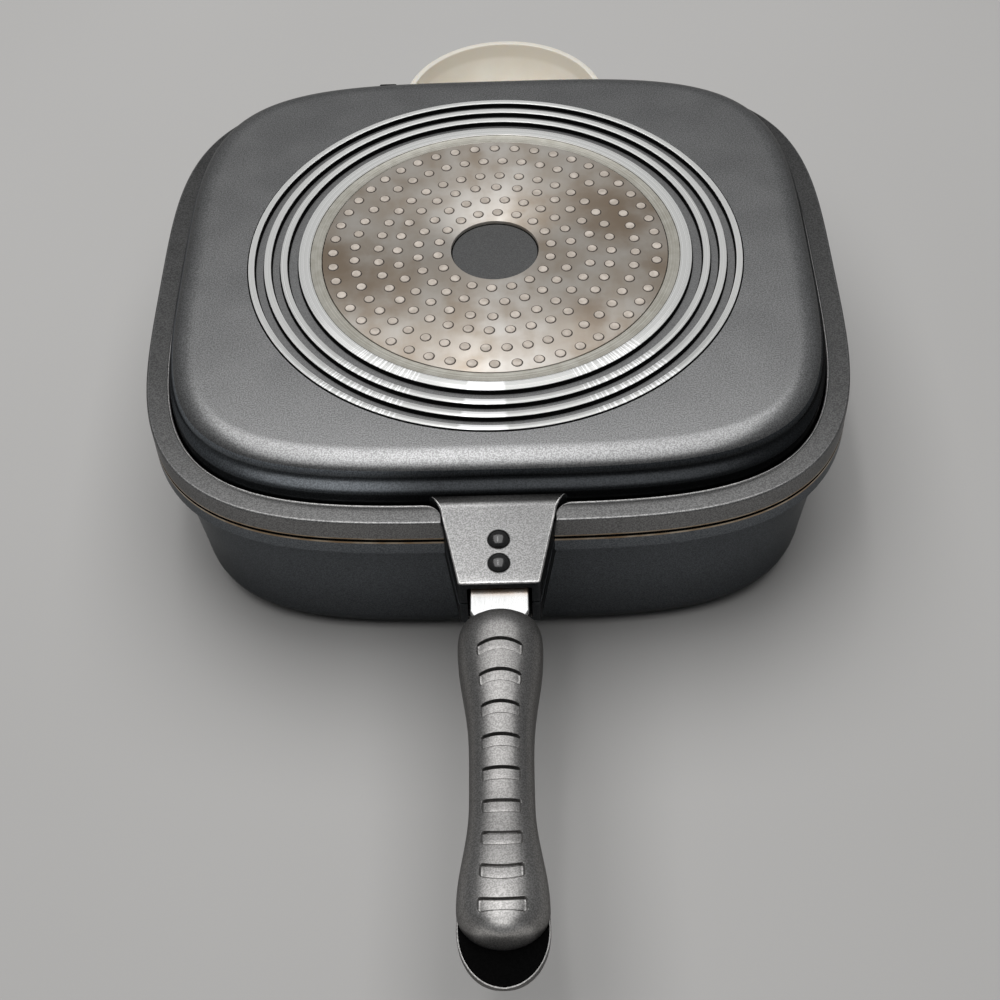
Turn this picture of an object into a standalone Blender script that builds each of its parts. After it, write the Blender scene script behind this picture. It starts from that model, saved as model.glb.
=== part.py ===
"""Double sided flip pan: two cast pans hinged at the back, with magnetic handles and a drip tray.

Lengths are in metres and +Z is up. The lower pan rests on its base at z = 0, the handles point
along -Y and the hinge is at +Y. The origin is the middle of the footprint's bounding box.
"""

import math

import bmesh
import bpy
from mathutils import Vector

# Castings: outline of the rim, depths and walls
RIM_HALF_WIDTH = 0.1405
RIM_HALF_DEPTH = 0.1315
RIM_SQUARENESS = 3.55
LOWER_DEPTH = 0.0730
UPPER_DEPTH = 0.0247
FIT_GAP = 0.0003
RIM_HEIGHT = 0.0078
RIM_EDGE_ROUNDING = 0.0008
RIB_WIDTH = 0.0070
MOAT_WIDTH = 0.0031
MOAT_DEPTH = 0.0025
UPPER_WALL = 0.0038
UPPER_SHOULDER = 0.0105
UPPER_CREASE_DROP = 0.0110
UPPER_CREASE_STEP = 0.0009
LOWER_WALL = 0.0040
LOWER_WALL_INSET = 0.0055
LOWER_DRAFT = math.radians(6.0)
LOWER_ROUNDING = 0.0140
FLANGE_FILLET = 0.0016
BASE_THICKNESS = 0.0052
INSIDE_FILLET = 0.0080
SEGMENTS = 48
ROUND_SEGMENTS = 16
SCREW_SEGMENTS = 12

# Base of each pan: machined rings round a pressed-in plate
RING_RADIUS = 0.1000
RING_OUTER_WIDTH = 0.0025
RING_INNER_WIDTH = 0.0028
GROOVE_OUTER_WIDTH = 0.0039
GROOVE_MIDDLE_WIDTH = 0.0038
GROOVE_INNER_WIDTH = 0.0045
GROOVE_DEPTH = 0.0014
PAINT_STEP = 0.0006
BAND_STEP_WIDTH = 0.0047
BAND_STEP = 0.0003
PLATE_RADIUS = 0.0700
PLATE_THICKNESS = 0.0010
PLATE_SINK = 0.0002
BOSS_RADIUS = 0.0175
BOSS_SINK = 0.0010

# Gasket in a channel under the upper rim
CHANNEL_INSET = 0.0026
CHANNEL_WIDTH = 0.0040
CHANNEL_DEPTH = 0.0038

# Handle brackets, tangs and rivets
BRACKET_LENGTH = 0.0292
BRACKET_HEIGHT = 0.0113
BRACKET_ROOT_HALF_WIDTH = 0.0203
BRACKET_END_HALF_WIDTH = 0.0145
BRACKET_WALL = 0.0030
BRACKET_BITE = 0.0019
TANG_HALF_WIDTH = 0.0102
TANG_NECK_HALF_WIDTH = 0.0070
TANG_THICKNESS = 0.0025
TANG_CLEARANCE = 0.0025
TANG_SHOULDER_DEPTH = 0.0025
TANG_TAPER = 0.0060
TANG_DEPTH_IN_GRIP = 0.0585
RIVET_EDGE = 0.0089
RIVET_PITCH = 0.0107
RIVET_HEAD_RADIUS = 0.00415
RIVET_HEAD_HEIGHT = 0.0026
RIVET_SHANK_RADIUS = 0.0022
RIVET_TAIL_RADIUS = 0.0034
RIVET_TAIL_HEIGHT = 0.0014

# Handle grips
GRIP_SETBACK = 0.0068
GRIP_ROOT_HALF_WIDTH = 0.0148
GRIP_WAIST_HALF_WIDTH = 0.0113
GRIP_END_HALF_WIDTH = 0.0146
GRIP_WAIST_SHARE = 0.62
GRIP_UPPER_LENGTH = 0.1250
GRIP_LOWER_LENGTH = 0.1370
GRIP_UPPER_NOSE = 0.0125
GRIP_LOWER_NOSE = 0.0190
GRIP_ROOT_HEIGHT = 0.0140
GRIP_WAIST_HEIGHT = 0.0094
GRIP_END_HEIGHT = 0.0138
GRIP_LIP = 0.0013
GRIP_SPANS = 9
GRIP_CROWN_STEPS = 10
GRIP_ROOT_CROWN_SHARE = 0.4
GRIP_FACE_RIM = 0.0016
FACE_PLATE_THICKNESS = 0.0022
SLOT_COUNT = 9
SLOT_START_MARGIN = 0.0201
SLOT_END_MARGIN = 0.0117
SLOT_WIDTH = 0.0050
SLOT_DEPTH = 0.0009
SLOT_HALF_LENGTH_SHARE = 0.54
SLOT_FIRST_BOW = 0.0024
SLOT_LAST_BOW = 0.0018
MAGNET_RADIUS = 0.0050
MAGNET_THICKNESS = 0.0030
MAGNET_SETBACK = 0.0225
GRIP_SCREW_DEPTH = 0.0375
GRIP_SCREW_RADIUS = 0.0016
GRIP_SCREW_HEAD_RADIUS = 0.0033
GRIP_SCREW_HEAD_HEIGHT = 0.0016

# Hinge
HINGE_CLEARANCE = 0.0035
HINGE_DROP = 0.0050
HINGE_SIDE_GAP = 0.0108
KNUCKLE_RADIUS = 0.0045
KNUCKLE_LENGTH = 0.0100
PIN_RADIUS = 0.0021
EAR_THICKNESS = 0.0055
PIN_HEAD_RADIUS = 0.0038
PIN_HEAD_HEIGHT = 0.0016
CLIP_RADIUS = 0.0040
CLIP_THICKNESS = 0.0009
PIN_TIP = 0.0010

# Drip tray, its rail and latch
TRAY_OFFSET = 0.0045
TRAY_CLEARANCE = 0.0033
TRAY_RADIUS = 0.0475
TRAY_RIM_DROP = 0.0050
TRAY_HEIGHT = 0.0240
TRAY_WALL = 0.0016
TRAY_LIP = 0.0012
TRAY_LIP_HEIGHT = 0.0016
TRAY_LEDGE_DROP = 0.0060
TRAY_LEDGE = 0.0012
TRAY_TAPER = 0.0030
TRAY_ARC_STEPS = 18
SOCKET_SPACING = 0.0180
SOCKET_WALL = 0.0018
PRONG_WIDTH = 0.0080
PRONG_LENGTH = 0.0140
RAIL_CLEARANCE = 0.0054
RAIL_THICKNESS = 0.0015
RAIL_HEIGHT = 0.0110
RAIL_DROP = 0.0075
RAIL_END_MARGIN = 0.0032
RAIL_BOSS_SPACING = 0.0300
RAIL_BOSS_RADIUS = 0.0048
RAIL_SCREW_RADIUS = 0.0017
RAIL_SCREW_HEAD_RADIUS = 0.0035
RAIL_SCREW_HEAD_HEIGHT = 0.0018
RAIL_SCREW_LENGTH = 0.0060
LATCH_GAP = 0.0034
LATCH_WIDTH = 0.0082
LATCH_SETBACK = 0.0013
LATCH_DEPTH = 0.0070
LATCH_HEIGHT = 0.0161
LATCH_ARM_WIDTH = 0.0040
LATCH_ARM_MARGIN = 0.0016

OVERRUN = 0.0020

# Derived levels and places; a reach is a distance from the pan's middle, in front or behind
RING_WIDTHS = (RING_OUTER_WIDTH, RING_INNER_WIDTH, RING_INNER_WIDTH)
GROOVE_WIDTHS = (GROOVE_OUTER_WIDTH, GROOVE_MIDDLE_WIDTH, GROOVE_INNER_WIDTH)
BAND_STEP_RADIUS = RING_RADIUS - sum(RING_WIDTHS) - sum(GROOVE_WIDTHS) - BAND_STEP_WIDTH
LOWER_TOP = LOWER_DEPTH
UPPER_BOTTOM = LOWER_TOP + FIT_GAP
MIDDLE = LOWER_TOP + FIT_GAP / 2
TOTAL_HEIGHT = UPPER_BOTTOM + UPPER_DEPTH
BRACKET_REACH = RIM_HALF_DEPTH + BRACKET_LENGTH
BRACKET_ROOF = BRACKET_HEIGHT - BRACKET_WALL
TANG_TOP = BRACKET_ROOF - FIT_GAP
TANG_BOTTOM = TANG_TOP - TANG_THICKNESS
RIVET_REACHES = (BRACKET_REACH - RIVET_EDGE - RIVET_PITCH, BRACKET_REACH - RIVET_EDGE)
GRIP_START = BRACKET_REACH + GRIP_SETBACK
GRIP_UPPER_REACH = GRIP_START + GRIP_UPPER_LENGTH
GRIP_LOWER_REACH = GRIP_START + GRIP_LOWER_LENGTH
GRIP_FIRST = GRIP_START + GRIP_ROOT_HALF_WIDTH
GRIP_WAIST_REACH = GRIP_FIRST + GRIP_WAIST_SHARE * (GRIP_UPPER_REACH - GRIP_UPPER_NOSE - GRIP_FIRST)
TANG_START = RIM_HALF_DEPTH + BRACKET_WALL + TANG_CLEARANCE
TANG_SHOULDER = GRIP_START + TANG_SHOULDER_DEPTH
TANG_END = GRIP_START + TANG_DEPTH_IN_GRIP
FACE_POCKET = FACE_PLATE_THICKNESS + FIT_GAP
SLOT_FIRST_REACH = GRIP_START + SLOT_START_MARGIN
SLOT_PITCH = (GRIP_UPPER_REACH - SLOT_END_MARGIN - SLOT_FIRST_REACH) / (SLOT_COUNT - 1)
MAGNET_REACH = GRIP_UPPER_REACH - MAGNET_SETBACK
GRIP_SCREW_REACH = GRIP_START + GRIP_SCREW_DEPTH
HINGE_REACH = RIM_HALF_DEPTH + HINGE_CLEARANCE + KNUCKLE_RADIUS
HINGE_Z = LOWER_TOP - HINGE_DROP
KNUCKLE_INNER = TRAY_OFFSET + TRAY_RADIUS + HINGE_SIDE_GAP
BORE_RADIUS = PIN_RADIUS + FIT_GAP
RAIL_REACH = RIM_HALF_DEPTH + RAIL_CLEARANCE
RAIL_TOP_Z = LOWER_TOP - RAIL_DROP
RAIL_MIDDLE_Z = RAIL_TOP_Z - RAIL_HEIGHT / 2
TRAY_REACH = RAIL_REACH + RAIL_THICKNESS + TRAY_CLEARANCE
TRAY_RIM_Z = LOWER_TOP - TRAY_RIM_DROP
LATCH_LEFT = TRAY_RADIUS - TRAY_OFFSET + LATCH_GAP + LATCH_WIDTH
LATCH_REACH = TRAY_REACH + LATCH_SETBACK
RAIL_LEFT = LATCH_LEFT - LATCH_ARM_MARGIN
RAIL_RIGHT = RAIL_BOSS_SPACING + RAIL_BOSS_RADIUS + RAIL_END_MARGIN
PAN_Y = (GRIP_LOWER_REACH - (TRAY_REACH + TRAY_RADIUS)) / 2


def clear_scene():
    """Removes every object that the scene holds."""
    for obj in list(bpy.data.objects):
        bpy.data.objects.remove(obj, do_unlink=True)


def material(name, colour, roughness, metallic):
    """Returns a Principled material of one colour."""
    mat = bpy.data.materials.new(name)
    mat.use_nodes = True
    shader = mat.node_tree.nodes["Principled BSDF"]
    shader.inputs["Base Color"].default_value = (*colour, 1.0)
    shader.inputs["Roughness"].default_value = roughness
    shader.inputs["Metallic"].default_value = metallic
    mat.diffuse_color = (*colour, 1.0)
    return mat


def add_object(name, bm, mat, origin=(0, 0, 0), parent=None):
    """Makes a named object of a bmesh given in the pan's own place, with its origin where asked."""
    pivot = Vector(origin)
    bmesh.ops.translate(bm, verts=bm.verts, vec=-pivot)
    mesh = bpy.data.meshes.new(name)
    bm.to_mesh(mesh)
    bm.free()
    mesh.shade_smooth()
    mesh.set_sharp_from_angle(angle=math.radians(32))
    obj = bpy.data.objects.new(name, mesh)
    bpy.context.scene.collection.objects.link(obj)
    if mat is not None:
        mesh.materials.append(mat)
    if parent is None:
        obj.location = pivot + Vector((0, PAN_Y, 0))
    else:
        obj.parent = parent
        obj.location = pivot + Vector((0, PAN_Y, 0)) - parent.location
    return obj


def add_empty(name, place):
    """Makes an empty on a joint's axis, placed in the pan's own place."""
    empty = bpy.data.objects.new(name, None)
    empty.location = Vector(place) + Vector((0, PAN_Y, 0))
    bpy.context.scene.collection.objects.link(empty)
    return empty


def combine(target, tools, operation):
    """Adds or cuts each tool with a Boolean that stays on the target."""
    for tool in tools:
        tool.hide_render = True
        tool.display_type = "WIRE"
        step = target.modifiers.new(f"{operation.lower()}_{tool.name}", "BOOLEAN")
        step.operation = operation
        step.solver = "EXACT"
        step.object = tool


def outward(bm):
    """Turns the faces of one closed body outward and returns it."""
    bmesh.ops.recalc_face_normals(bm, faces=bm.faces)
    if bm.calc_volume(signed=True) < 0:
        bmesh.ops.reverse_faces(bm, faces=bm.faces)
    return bm


def loft(loops):
    """Joins rings of equally many points into one closed body with flat ends."""
    bm = bmesh.new()
    rings = [[bm.verts.new(point) for point in loop] for loop in loops]
    for low, high in zip(rings, rings[1:]):
        for index, vert in enumerate(low):
            after = (index + 1) % len(low)
            bm.faces.new((vert, low[after], high[after], high[index]))
    bm.faces.new(rings[0])
    bm.faces.new(rings[-1])
    return outward(bm)


def closed_ring(loops):
    """Joins rings into a body that closes on itself, such as a gasket."""
    bm = bmesh.new()
    rings = [[bm.verts.new(point) for point in loop] for loop in loops]
    for low, high in zip(rings, [*rings[1:], rings[0]]):
        for index, vert in enumerate(low):
            after = (index + 1) % len(low)
            bm.faces.new((vert, low[after], high[after], high[index]))
    return outward(bm)


def mirror_level(bm):
    """Turns an upper piece into its lower twin, about the plane where the two pans meet."""
    for vert in bm.verts:
        vert.co.z = 2 * MIDDLE - vert.co.z
    bmesh.ops.reverse_faces(bm, faces=bm.faces)
    return bm


def half_turn(side, bm):
    """Mirrors a lower piece from an upper one and leaves an upper piece as it is."""
    return bm if side == "upper" else mirror_level(bm)


# Outline of the rim, with its points gathered toward the corners


def corner_point(turn):
    """Returns the rim's point at a parameter of its rounded square."""
    power = 2 / RIM_SQUARENESS
    x = RIM_HALF_WIDTH * math.copysign(abs(math.cos(turn)) ** power, math.cos(turn))
    y = RIM_HALF_DEPTH * math.copysign(abs(math.sin(turn)) ** power, math.sin(turn))
    return x, y


def outline_turn(share):
    """Returns the parameter, in the first quarter, that mixes even turns with even bearings."""
    goal = share * math.pi / 2
    low, high = 0.0, math.pi / 2
    for _ in range(50):
        middle = (low + high) / 2
        x, y = corner_point(middle)
        if (middle + math.atan2(y, x)) / 2 < goal:
            low = middle
        else:
            high = middle
    return low


def rim_points():
    """Returns the rim's points and outward directions, symmetric about both axes."""
    quarter = SEGMENTS // 4
    first = []
    for index in range(quarter + 1):
        x, y = corner_point(outline_turn(index / quarter))
        if index == 0:
            x, y = RIM_HALF_WIDTH, 0.0
        if index == quarter:
            x, y = 0.0, RIM_HALF_DEPTH
        slope_x = (x / RIM_HALF_WIDTH) ** (RIM_SQUARENESS - 1) / RIM_HALF_WIDTH
        slope_y = (y / RIM_HALF_DEPTH) ** (RIM_SQUARENESS - 1) / RIM_HALF_DEPTH
        first.append((Vector((x, y)), Vector((slope_x, slope_y)).normalized()))
    points = []
    for index in range(SEGMENTS):
        square, step = divmod(index, quarter)
        spot, way = first[step] if square % 2 == 0 else first[quarter - step]
        flip_x = -1 if square in (1, 2) else 1
        flip_y = -1 if square in (2, 3) else 1
        points.append(
            (Vector((spot.x * flip_x, spot.y * flip_y)), Vector((way.x * flip_x, way.y * flip_y)))
        )
    return points


RIM = rim_points()


def rim_loop(inset, z):
    """Returns the rim's outline moved inward by an inset, at a level."""
    return [Vector((spot.x - way.x * inset, spot.y - way.y * inset, z)) for spot, way in RIM]


def round_loop(radius, z):
    """Returns a circle whose points lie on the rim points' bearings."""
    loop = []
    for spot, _ in RIM:
        bearing = math.atan2(spot.y, spot.x)
        loop.append(Vector((radius * math.cos(bearing), radius * math.sin(bearing), z)))
    return loop


def base_loops(face, way):
    """Returns the circles of a base from its middle outward; way is the side that it faces."""
    plate_top = face - way * PLATE_SINK
    pocket = plate_top - way * (PLATE_THICKNESS + FIT_GAP)
    groove = face - way * GROOVE_DEPTH
    loops = [
        round_loop(BOSS_RADIUS, face - way * BOSS_SINK),
        round_loop(BOSS_RADIUS, pocket),
        round_loop(PLATE_RADIUS + FIT_GAP, pocket),
        round_loop(PLATE_RADIUS + FIT_GAP, face - way * BAND_STEP),
        round_loop(BAND_STEP_RADIUS, face - way * BAND_STEP),
        round_loop(BAND_STEP_RADIUS, face),
    ]
    rings = []
    radius = RING_RADIUS
    for ring, gap in zip(RING_WIDTHS, GROOVE_WIDTHS):
        rings.append((radius, radius - ring))
        radius -= ring + gap
    loops += [round_loop(radius, face), round_loop(radius, groove)]
    for outer, inner in reversed(rings):
        loops += [round_loop(inner, groove), round_loop(inner, face), round_loop(outer, face)]
        if outer < RING_RADIUS:
            loops.append(round_loop(outer, groove))
    loops.append(round_loop(RING_RADIUS, face - way * PAINT_STEP))
    return loops


def upper_pan_mesh():
    """Upper casting: base, rounded shoulder, moat, hollow rim and cooking side."""
    top = TOTAL_HEIGHT
    skin = top - PAINT_STEP
    wall = RIB_WIDTH + MOAT_WIDTH
    crease = wall + UPPER_CREASE_STEP
    drop = UPPER_CREASE_DROP - PAINT_STEP
    rim_top = UPPER_BOTTOM + RIM_HEIGHT
    moat = rim_top - MOAT_DEPTH
    ceiling = top - BASE_THICKNESS
    inner = wall + UPPER_WALL
    loops = base_loops(top, 1)
    for degrees in (0, 22, 45, 67, 86):
        lean = math.radians(degrees)
        inset = crease + UPPER_SHOULDER * (1 - math.sin(lean))
        loops.append(rim_loop(inset, skin - drop * (1 - math.cos(lean))))
    loops += [
        rim_loop(wall + RIM_EDGE_ROUNDING / 2, skin - drop),
        rim_loop(wall, skin - drop - RIM_EDGE_ROUNDING),
        rim_loop(wall, moat),
        rim_loop(RIB_WIDTH, moat),
        rim_loop(RIB_WIDTH, rim_top - RIM_EDGE_ROUNDING),
        rim_loop(RIB_WIDTH - RIM_EDGE_ROUNDING, rim_top),
        rim_loop(RIM_EDGE_ROUNDING, rim_top),
        rim_loop(0, rim_top - RIM_EDGE_ROUNDING),
        rim_loop(0, UPPER_BOTTOM),
        rim_loop(CHANNEL_INSET, UPPER_BOTTOM),
        rim_loop(CHANNEL_INSET, UPPER_BOTTOM + CHANNEL_DEPTH),
        rim_loop(CHANNEL_INSET + CHANNEL_WIDTH, UPPER_BOTTOM + CHANNEL_DEPTH),
        rim_loop(CHANNEL_INSET + CHANNEL_WIDTH, UPPER_BOTTOM),
        rim_loop(inner, UPPER_BOTTOM),
        rim_loop(inner, ceiling - INSIDE_FILLET),
        rim_loop(inner + INSIDE_FILLET * (1 - math.cos(math.radians(45))),
                 ceiling - INSIDE_FILLET * (1 - math.sin(math.radians(45)))),
        rim_loop(inner + INSIDE_FILLET, ceiling),
    ]
    return loft(loops)


def lower_wall_inset(depth):
    """Returns how far the lower pan's outer wall stands in from the rim at a depth below its top."""
    return LOWER_WALL_INSET + max(depth - RIM_HEIGHT, 0) * math.tan(LOWER_DRAFT)


def lower_pan_mesh():
    """Lower casting: base, rounded and drafted wall, rim and deep cooking side."""
    rim_bottom = LOWER_TOP - RIM_HEIGHT
    loops = base_loops(0, -1)
    foot = LOWER_ROUNDING + PAINT_STEP
    wall_foot = lower_wall_inset(LOWER_TOP - foot)
    for degrees in (0, 23, 45, 68, 90):
        lean = math.radians(degrees)
        inset = wall_foot + LOWER_ROUNDING * (1 - math.sin(lean))
        loops.append(rim_loop(inset, foot - LOWER_ROUNDING * math.cos(lean)))
    loops += [
        rim_loop(LOWER_WALL_INSET, rim_bottom - FLANGE_FILLET),
        rim_loop(LOWER_WALL_INSET - FLANGE_FILLET, rim_bottom),
        rim_loop(RIM_EDGE_ROUNDING, rim_bottom),
        rim_loop(0, rim_bottom + RIM_EDGE_ROUNDING),
        rim_loop(0, LOWER_TOP),
        rim_loop(LOWER_WALL_INSET + LOWER_WALL, LOWER_TOP),
    ]
    inner = wall_foot + LOWER_WALL
    floor = BASE_THICKNESS
    for degrees in (0, 30, 60, 90):
        lean = math.radians(degrees)
        inset = inner + LOWER_ROUNDING * (1 - math.cos(lean))
        loops.append(rim_loop(inset, floor + LOWER_ROUNDING * (1 - math.sin(lean))))
    return loft(loops)


def plate_mesh(face, way):
    """Pressed-in base plate with a round window in its middle."""
    outer_z = face - way * PLATE_SINK
    inner_z = outer_z - way * PLATE_THICKNESS
    window = BOSS_RADIUS + FIT_GAP
    return closed_ring(
        [
            round_loop(window, outer_z),
            round_loop(PLATE_RADIUS, outer_z),
            round_loop(PLATE_RADIUS, inner_z),
            round_loop(window, inner_z),
        ]
    )


def gasket_mesh():
    """Seal that fills the upper rim's channel and rests over the lower rim."""
    outer = CHANNEL_INSET + FIT_GAP
    inner = CHANNEL_INSET + CHANNEL_WIDTH - FIT_GAP
    roof = UPPER_BOTTOM + CHANNEL_DEPTH - FIT_GAP
    return closed_ring(
        [
            rim_loop(outer, UPPER_BOTTOM),
            rim_loop(outer, roof),
            rim_loop(inner, roof),
            rim_loop(inner, UPPER_BOTTOM),
        ]
    )


# Small solids


def prism(polygon, low, high):
    """Extrudes a polygon of (y, z) points along X."""
    return loft([[Vector((low, y, z)) for y, z in polygon], [Vector((high, y, z)) for y, z in polygon]])


def box(x, y, z):
    """Returns a box between three pairs of planes."""
    return prism([(y[0], z[0]), (y[1], z[0]), (y[1], z[1]), (y[0], z[1])], x[0], x[1])


def turned(profile, segments=ROUND_SEGMENTS):
    """Turns a closed run of (radius, height) points about +Z; both ends lie on the axis."""
    loops = []
    for radius, height in profile:
        loop = []
        for index in range(segments):
            angle = index / segments * math.tau
            loop.append(Vector((radius * math.cos(angle), radius * math.sin(angle), height)))
        loops.append(loop)
    return loft(loops)


def moved(bm, offset):
    """Moves a bmesh and returns it."""
    bmesh.ops.translate(bm, verts=bm.verts, vec=Vector(offset))
    return bm


def along_x(bm):
    """Lays a turned body down so that its axis runs along +X."""
    for vert in bm.verts:
        vert.co = Vector((vert.co.z, vert.co.y, -vert.co.x))
    return bm


def along_y(bm):
    """Lays a turned body down so that its axis runs along +Y."""
    for vert in bm.verts:
        vert.co = Vector((vert.co.x, vert.co.z, -vert.co.y))
    return bm


def rod(radius, start, end, segments=ROUND_SEGMENTS):
    """Returns a plain rod along +Z between two heights."""
    return turned([(radius, start), (radius, end)], segments)


def merged(parts):
    """Puts several separate closed bodies into one bmesh."""
    whole = bmesh.new()
    for part in parts:
        mesh = bpy.data.meshes.new("piece")
        part.to_mesh(mesh)
        part.free()
        whole.from_mesh(mesh)
        bpy.data.meshes.remove(mesh)
    return whole


def tool(name, bm):
    """Makes an operand of a Boolean in the pan's own place."""
    return add_object(name, bm, None)


# Brackets


def bracket_half_width(reach):
    """Returns the bracket's half width at a distance in front of the pan's middle."""
    share = (reach - RIM_HALF_DEPTH) / (BRACKET_REACH - RIM_HALF_DEPTH)
    return BRACKET_ROOT_HALF_WIDTH + share * (BRACKET_END_HALF_WIDTH - BRACKET_ROOT_HALF_WIDTH)


def tapered(polygon, inset):
    """Extrudes a (reach, z) polygon to both sides of X = 0 between the bracket's tapering sides."""
    left = [Vector((-(bracket_half_width(reach) - inset), -reach, z)) for reach, z in polygon]
    right = [Vector((bracket_half_width(reach) - inset, -reach, z)) for reach, z in polygon]
    return loft([left, right])


def bracket_solids(side):
    """Returns the bracket's block and its channel, open below and in front."""
    floor = UPPER_BOTTOM + FIT_GAP
    top = UPPER_BOTTOM + BRACKET_HEIGHT
    if side == "upper":
        root = RIM_HALF_DEPTH - RIB_WIDTH - MOAT_WIDTH - BRACKET_BITE
        bridge = UPPER_BOTTOM + RIM_HEIGHT - MOAT_DEPTH - FIT_GAP
        lip = RIM_HALF_DEPTH - CHANNEL_INSET / 2
        outline = [
            (root, bridge),
            (root, top),
            (BRACKET_REACH, top),
            (BRACKET_REACH, floor),
            (lip, floor),
            (lip, bridge),
        ]
    else:
        root = RIM_HALF_DEPTH - LOWER_WALL_INSET - BRACKET_BITE
        outline = [(root, floor), (root, top), (BRACKET_REACH, top), (BRACKET_REACH, floor)]
    start = RIM_HALF_DEPTH + BRACKET_WALL
    roof = UPPER_BOTTOM + BRACKET_ROOF
    hollow = [
        (start, UPPER_BOTTOM - OVERRUN),
        (start, roof),
        (BRACKET_REACH + OVERRUN, roof),
        (BRACKET_REACH + OVERRUN, UPPER_BOTTOM - OVERRUN),
    ]
    return half_turn(side, tapered(outline, 0)), half_turn(side, tapered(hollow, BRACKET_WALL))


def rivet_holes(side, low, high):
    """Returns one cutter for each rivet through a bracket or a tang."""
    radius = RIVET_SHANK_RADIUS + FIT_GAP
    cuts = []
    for reach in RIVET_REACHES:
        hole = moved(rod(radius, UPPER_BOTTOM + low, UPPER_BOTTOM + high), (0, -reach, 0))
        cuts.append(half_turn(side, hole))
    return cuts


def rivet_mesh(side, reach):
    """Domed rivet, headed under the tang."""
    seat = UPPER_BOTTOM + BRACKET_HEIGHT + FIT_GAP
    tail = UPPER_BOTTOM + TANG_BOTTOM - FIT_GAP
    profile = [
        (RIVET_TAIL_RADIUS, tail - RIVET_TAIL_HEIGHT),
        (RIVET_TAIL_RADIUS, tail),
        (RIVET_SHANK_RADIUS, tail),
        (RIVET_SHANK_RADIUS, seat),
        (RIVET_HEAD_RADIUS, seat),
    ]
    for degrees in (25, 50, 72):
        lean = math.radians(degrees)
        profile.append((RIVET_HEAD_RADIUS * math.cos(lean), seat + RIVET_HEAD_HEIGHT * math.sin(lean)))
    return half_turn(side, moved(turned(profile), (0, -reach, 0)))


def tang_outline(gap):
    """Returns the strap's plan as (x, reach) points, grown by a gap."""
    wide = TANG_HALF_WIDTH + gap
    narrow = TANG_NECK_HALF_WIDTH + gap
    run = [
        (wide, TANG_START - gap),
        (wide, TANG_SHOULDER + gap),
        (narrow, TANG_SHOULDER + TANG_TAPER + gap),
        (narrow, TANG_END + gap),
    ]
    return run + [(-x, reach) for x, reach in reversed(run)]


def tang_mesh(side, gap):
    """Flat steel strap that joins a bracket to its grip, or its pocket where a gap is given."""
    low = UPPER_BOTTOM + TANG_BOTTOM - gap
    high = UPPER_BOTTOM + TANG_TOP + gap
    outline = tang_outline(gap)
    rings = [[Vector((x, -reach, z)) for x, reach in outline] for z in (low, high)]
    return half_turn(side, loft(rings))


# Grips


def blend(share):
    """Returns a smooth share that leaves 0 and reaches 1 level."""
    return (1 - math.cos(math.pi * min(max(share, 0), 1))) / 2


def grip_size(side, reach):
    """Returns the grip's half width and height at a distance, before its ends round off."""
    last = grip_end(side) - grip_nose(side)
    if reach < GRIP_WAIST_REACH:
        share = blend((GRIP_WAIST_REACH - reach) / (GRIP_WAIST_REACH - GRIP_FIRST))
        wide = GRIP_WAIST_HALF_WIDTH + share * (GRIP_ROOT_HALF_WIDTH - GRIP_WAIST_HALF_WIDTH)
        tall = GRIP_WAIST_HEIGHT + share * (GRIP_ROOT_HEIGHT - GRIP_WAIST_HEIGHT)
    else:
        share = blend((reach - GRIP_WAIST_REACH) / (last - GRIP_WAIST_REACH))
        wide = GRIP_WAIST_HALF_WIDTH + share * (GRIP_END_HALF_WIDTH - GRIP_WAIST_HALF_WIDTH)
        tall = GRIP_WAIST_HEIGHT + share * (GRIP_END_HEIGHT - GRIP_WAIST_HEIGHT)
    return wide, tall


def grip_end(side):
    """Returns how far a grip reaches in front of the pan's middle."""
    return GRIP_UPPER_REACH if side == "upper" else GRIP_LOWER_REACH


def grip_nose(side):
    """Returns the length of a grip's rounded end."""
    return GRIP_UPPER_NOSE if side == "upper" else GRIP_LOWER_NOSE


def grip_stations(side, inset):
    """Returns (reach, half width, height, roundness share) along a grip, with its outline inset."""
    last = grip_end(side) - grip_nose(side)
    root = GRIP_ROOT_HALF_WIDTH - inset
    nose = grip_nose(side) - inset
    stations = []
    for degrees in (84, 70, 54, 36, 18):
        lean = math.radians(degrees)
        wide = root * math.cos(lean)
        stations.append((GRIP_FIRST - root * math.sin(lean), wide, GRIP_ROOT_HEIGHT, math.cos(lean)))
    for index in range(GRIP_SPANS + 1):
        reach = GRIP_FIRST + (last - GRIP_FIRST) * index / GRIP_SPANS
        wide, tall = grip_size(side, reach)
        stations.append((reach, wide - inset, tall, 1.0))
    for degrees in (18, 36, 54, 70, 84):
        lean = math.radians(degrees)
        wide = (GRIP_END_HALF_WIDTH - inset) * math.cos(lean)
        stations.append((last + nose * math.sin(lean), wide, GRIP_END_HEIGHT, math.cos(lean)))
    return stations


def grip_mesh(side):
    """Grip body with a flat mating face, a lip round it and a domed back."""
    rings = []
    middle = (GRIP_START + grip_end(side)) / 2
    for reach, wide, tall, roundness in grip_stations(side, 0):
        low_share = GRIP_ROOT_CROWN_SHARE if reach < middle else 0
        crown = (tall - GRIP_LIP) * (low_share + (1 - low_share) * roundness)
        ring = [Vector((-wide, -reach, UPPER_BOTTOM)), Vector((wide, -reach, UPPER_BOTTOM))]
        for step in range(GRIP_CROWN_STEPS + 1):
            angle = math.pi * step / GRIP_CROWN_STEPS
            x = wide * math.cos(angle)
            ring.append(Vector((x, -reach, UPPER_BOTTOM + GRIP_LIP + crown * math.sin(angle))))
        rings.append(ring)
    return half_turn(side, loft(rings))


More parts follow.
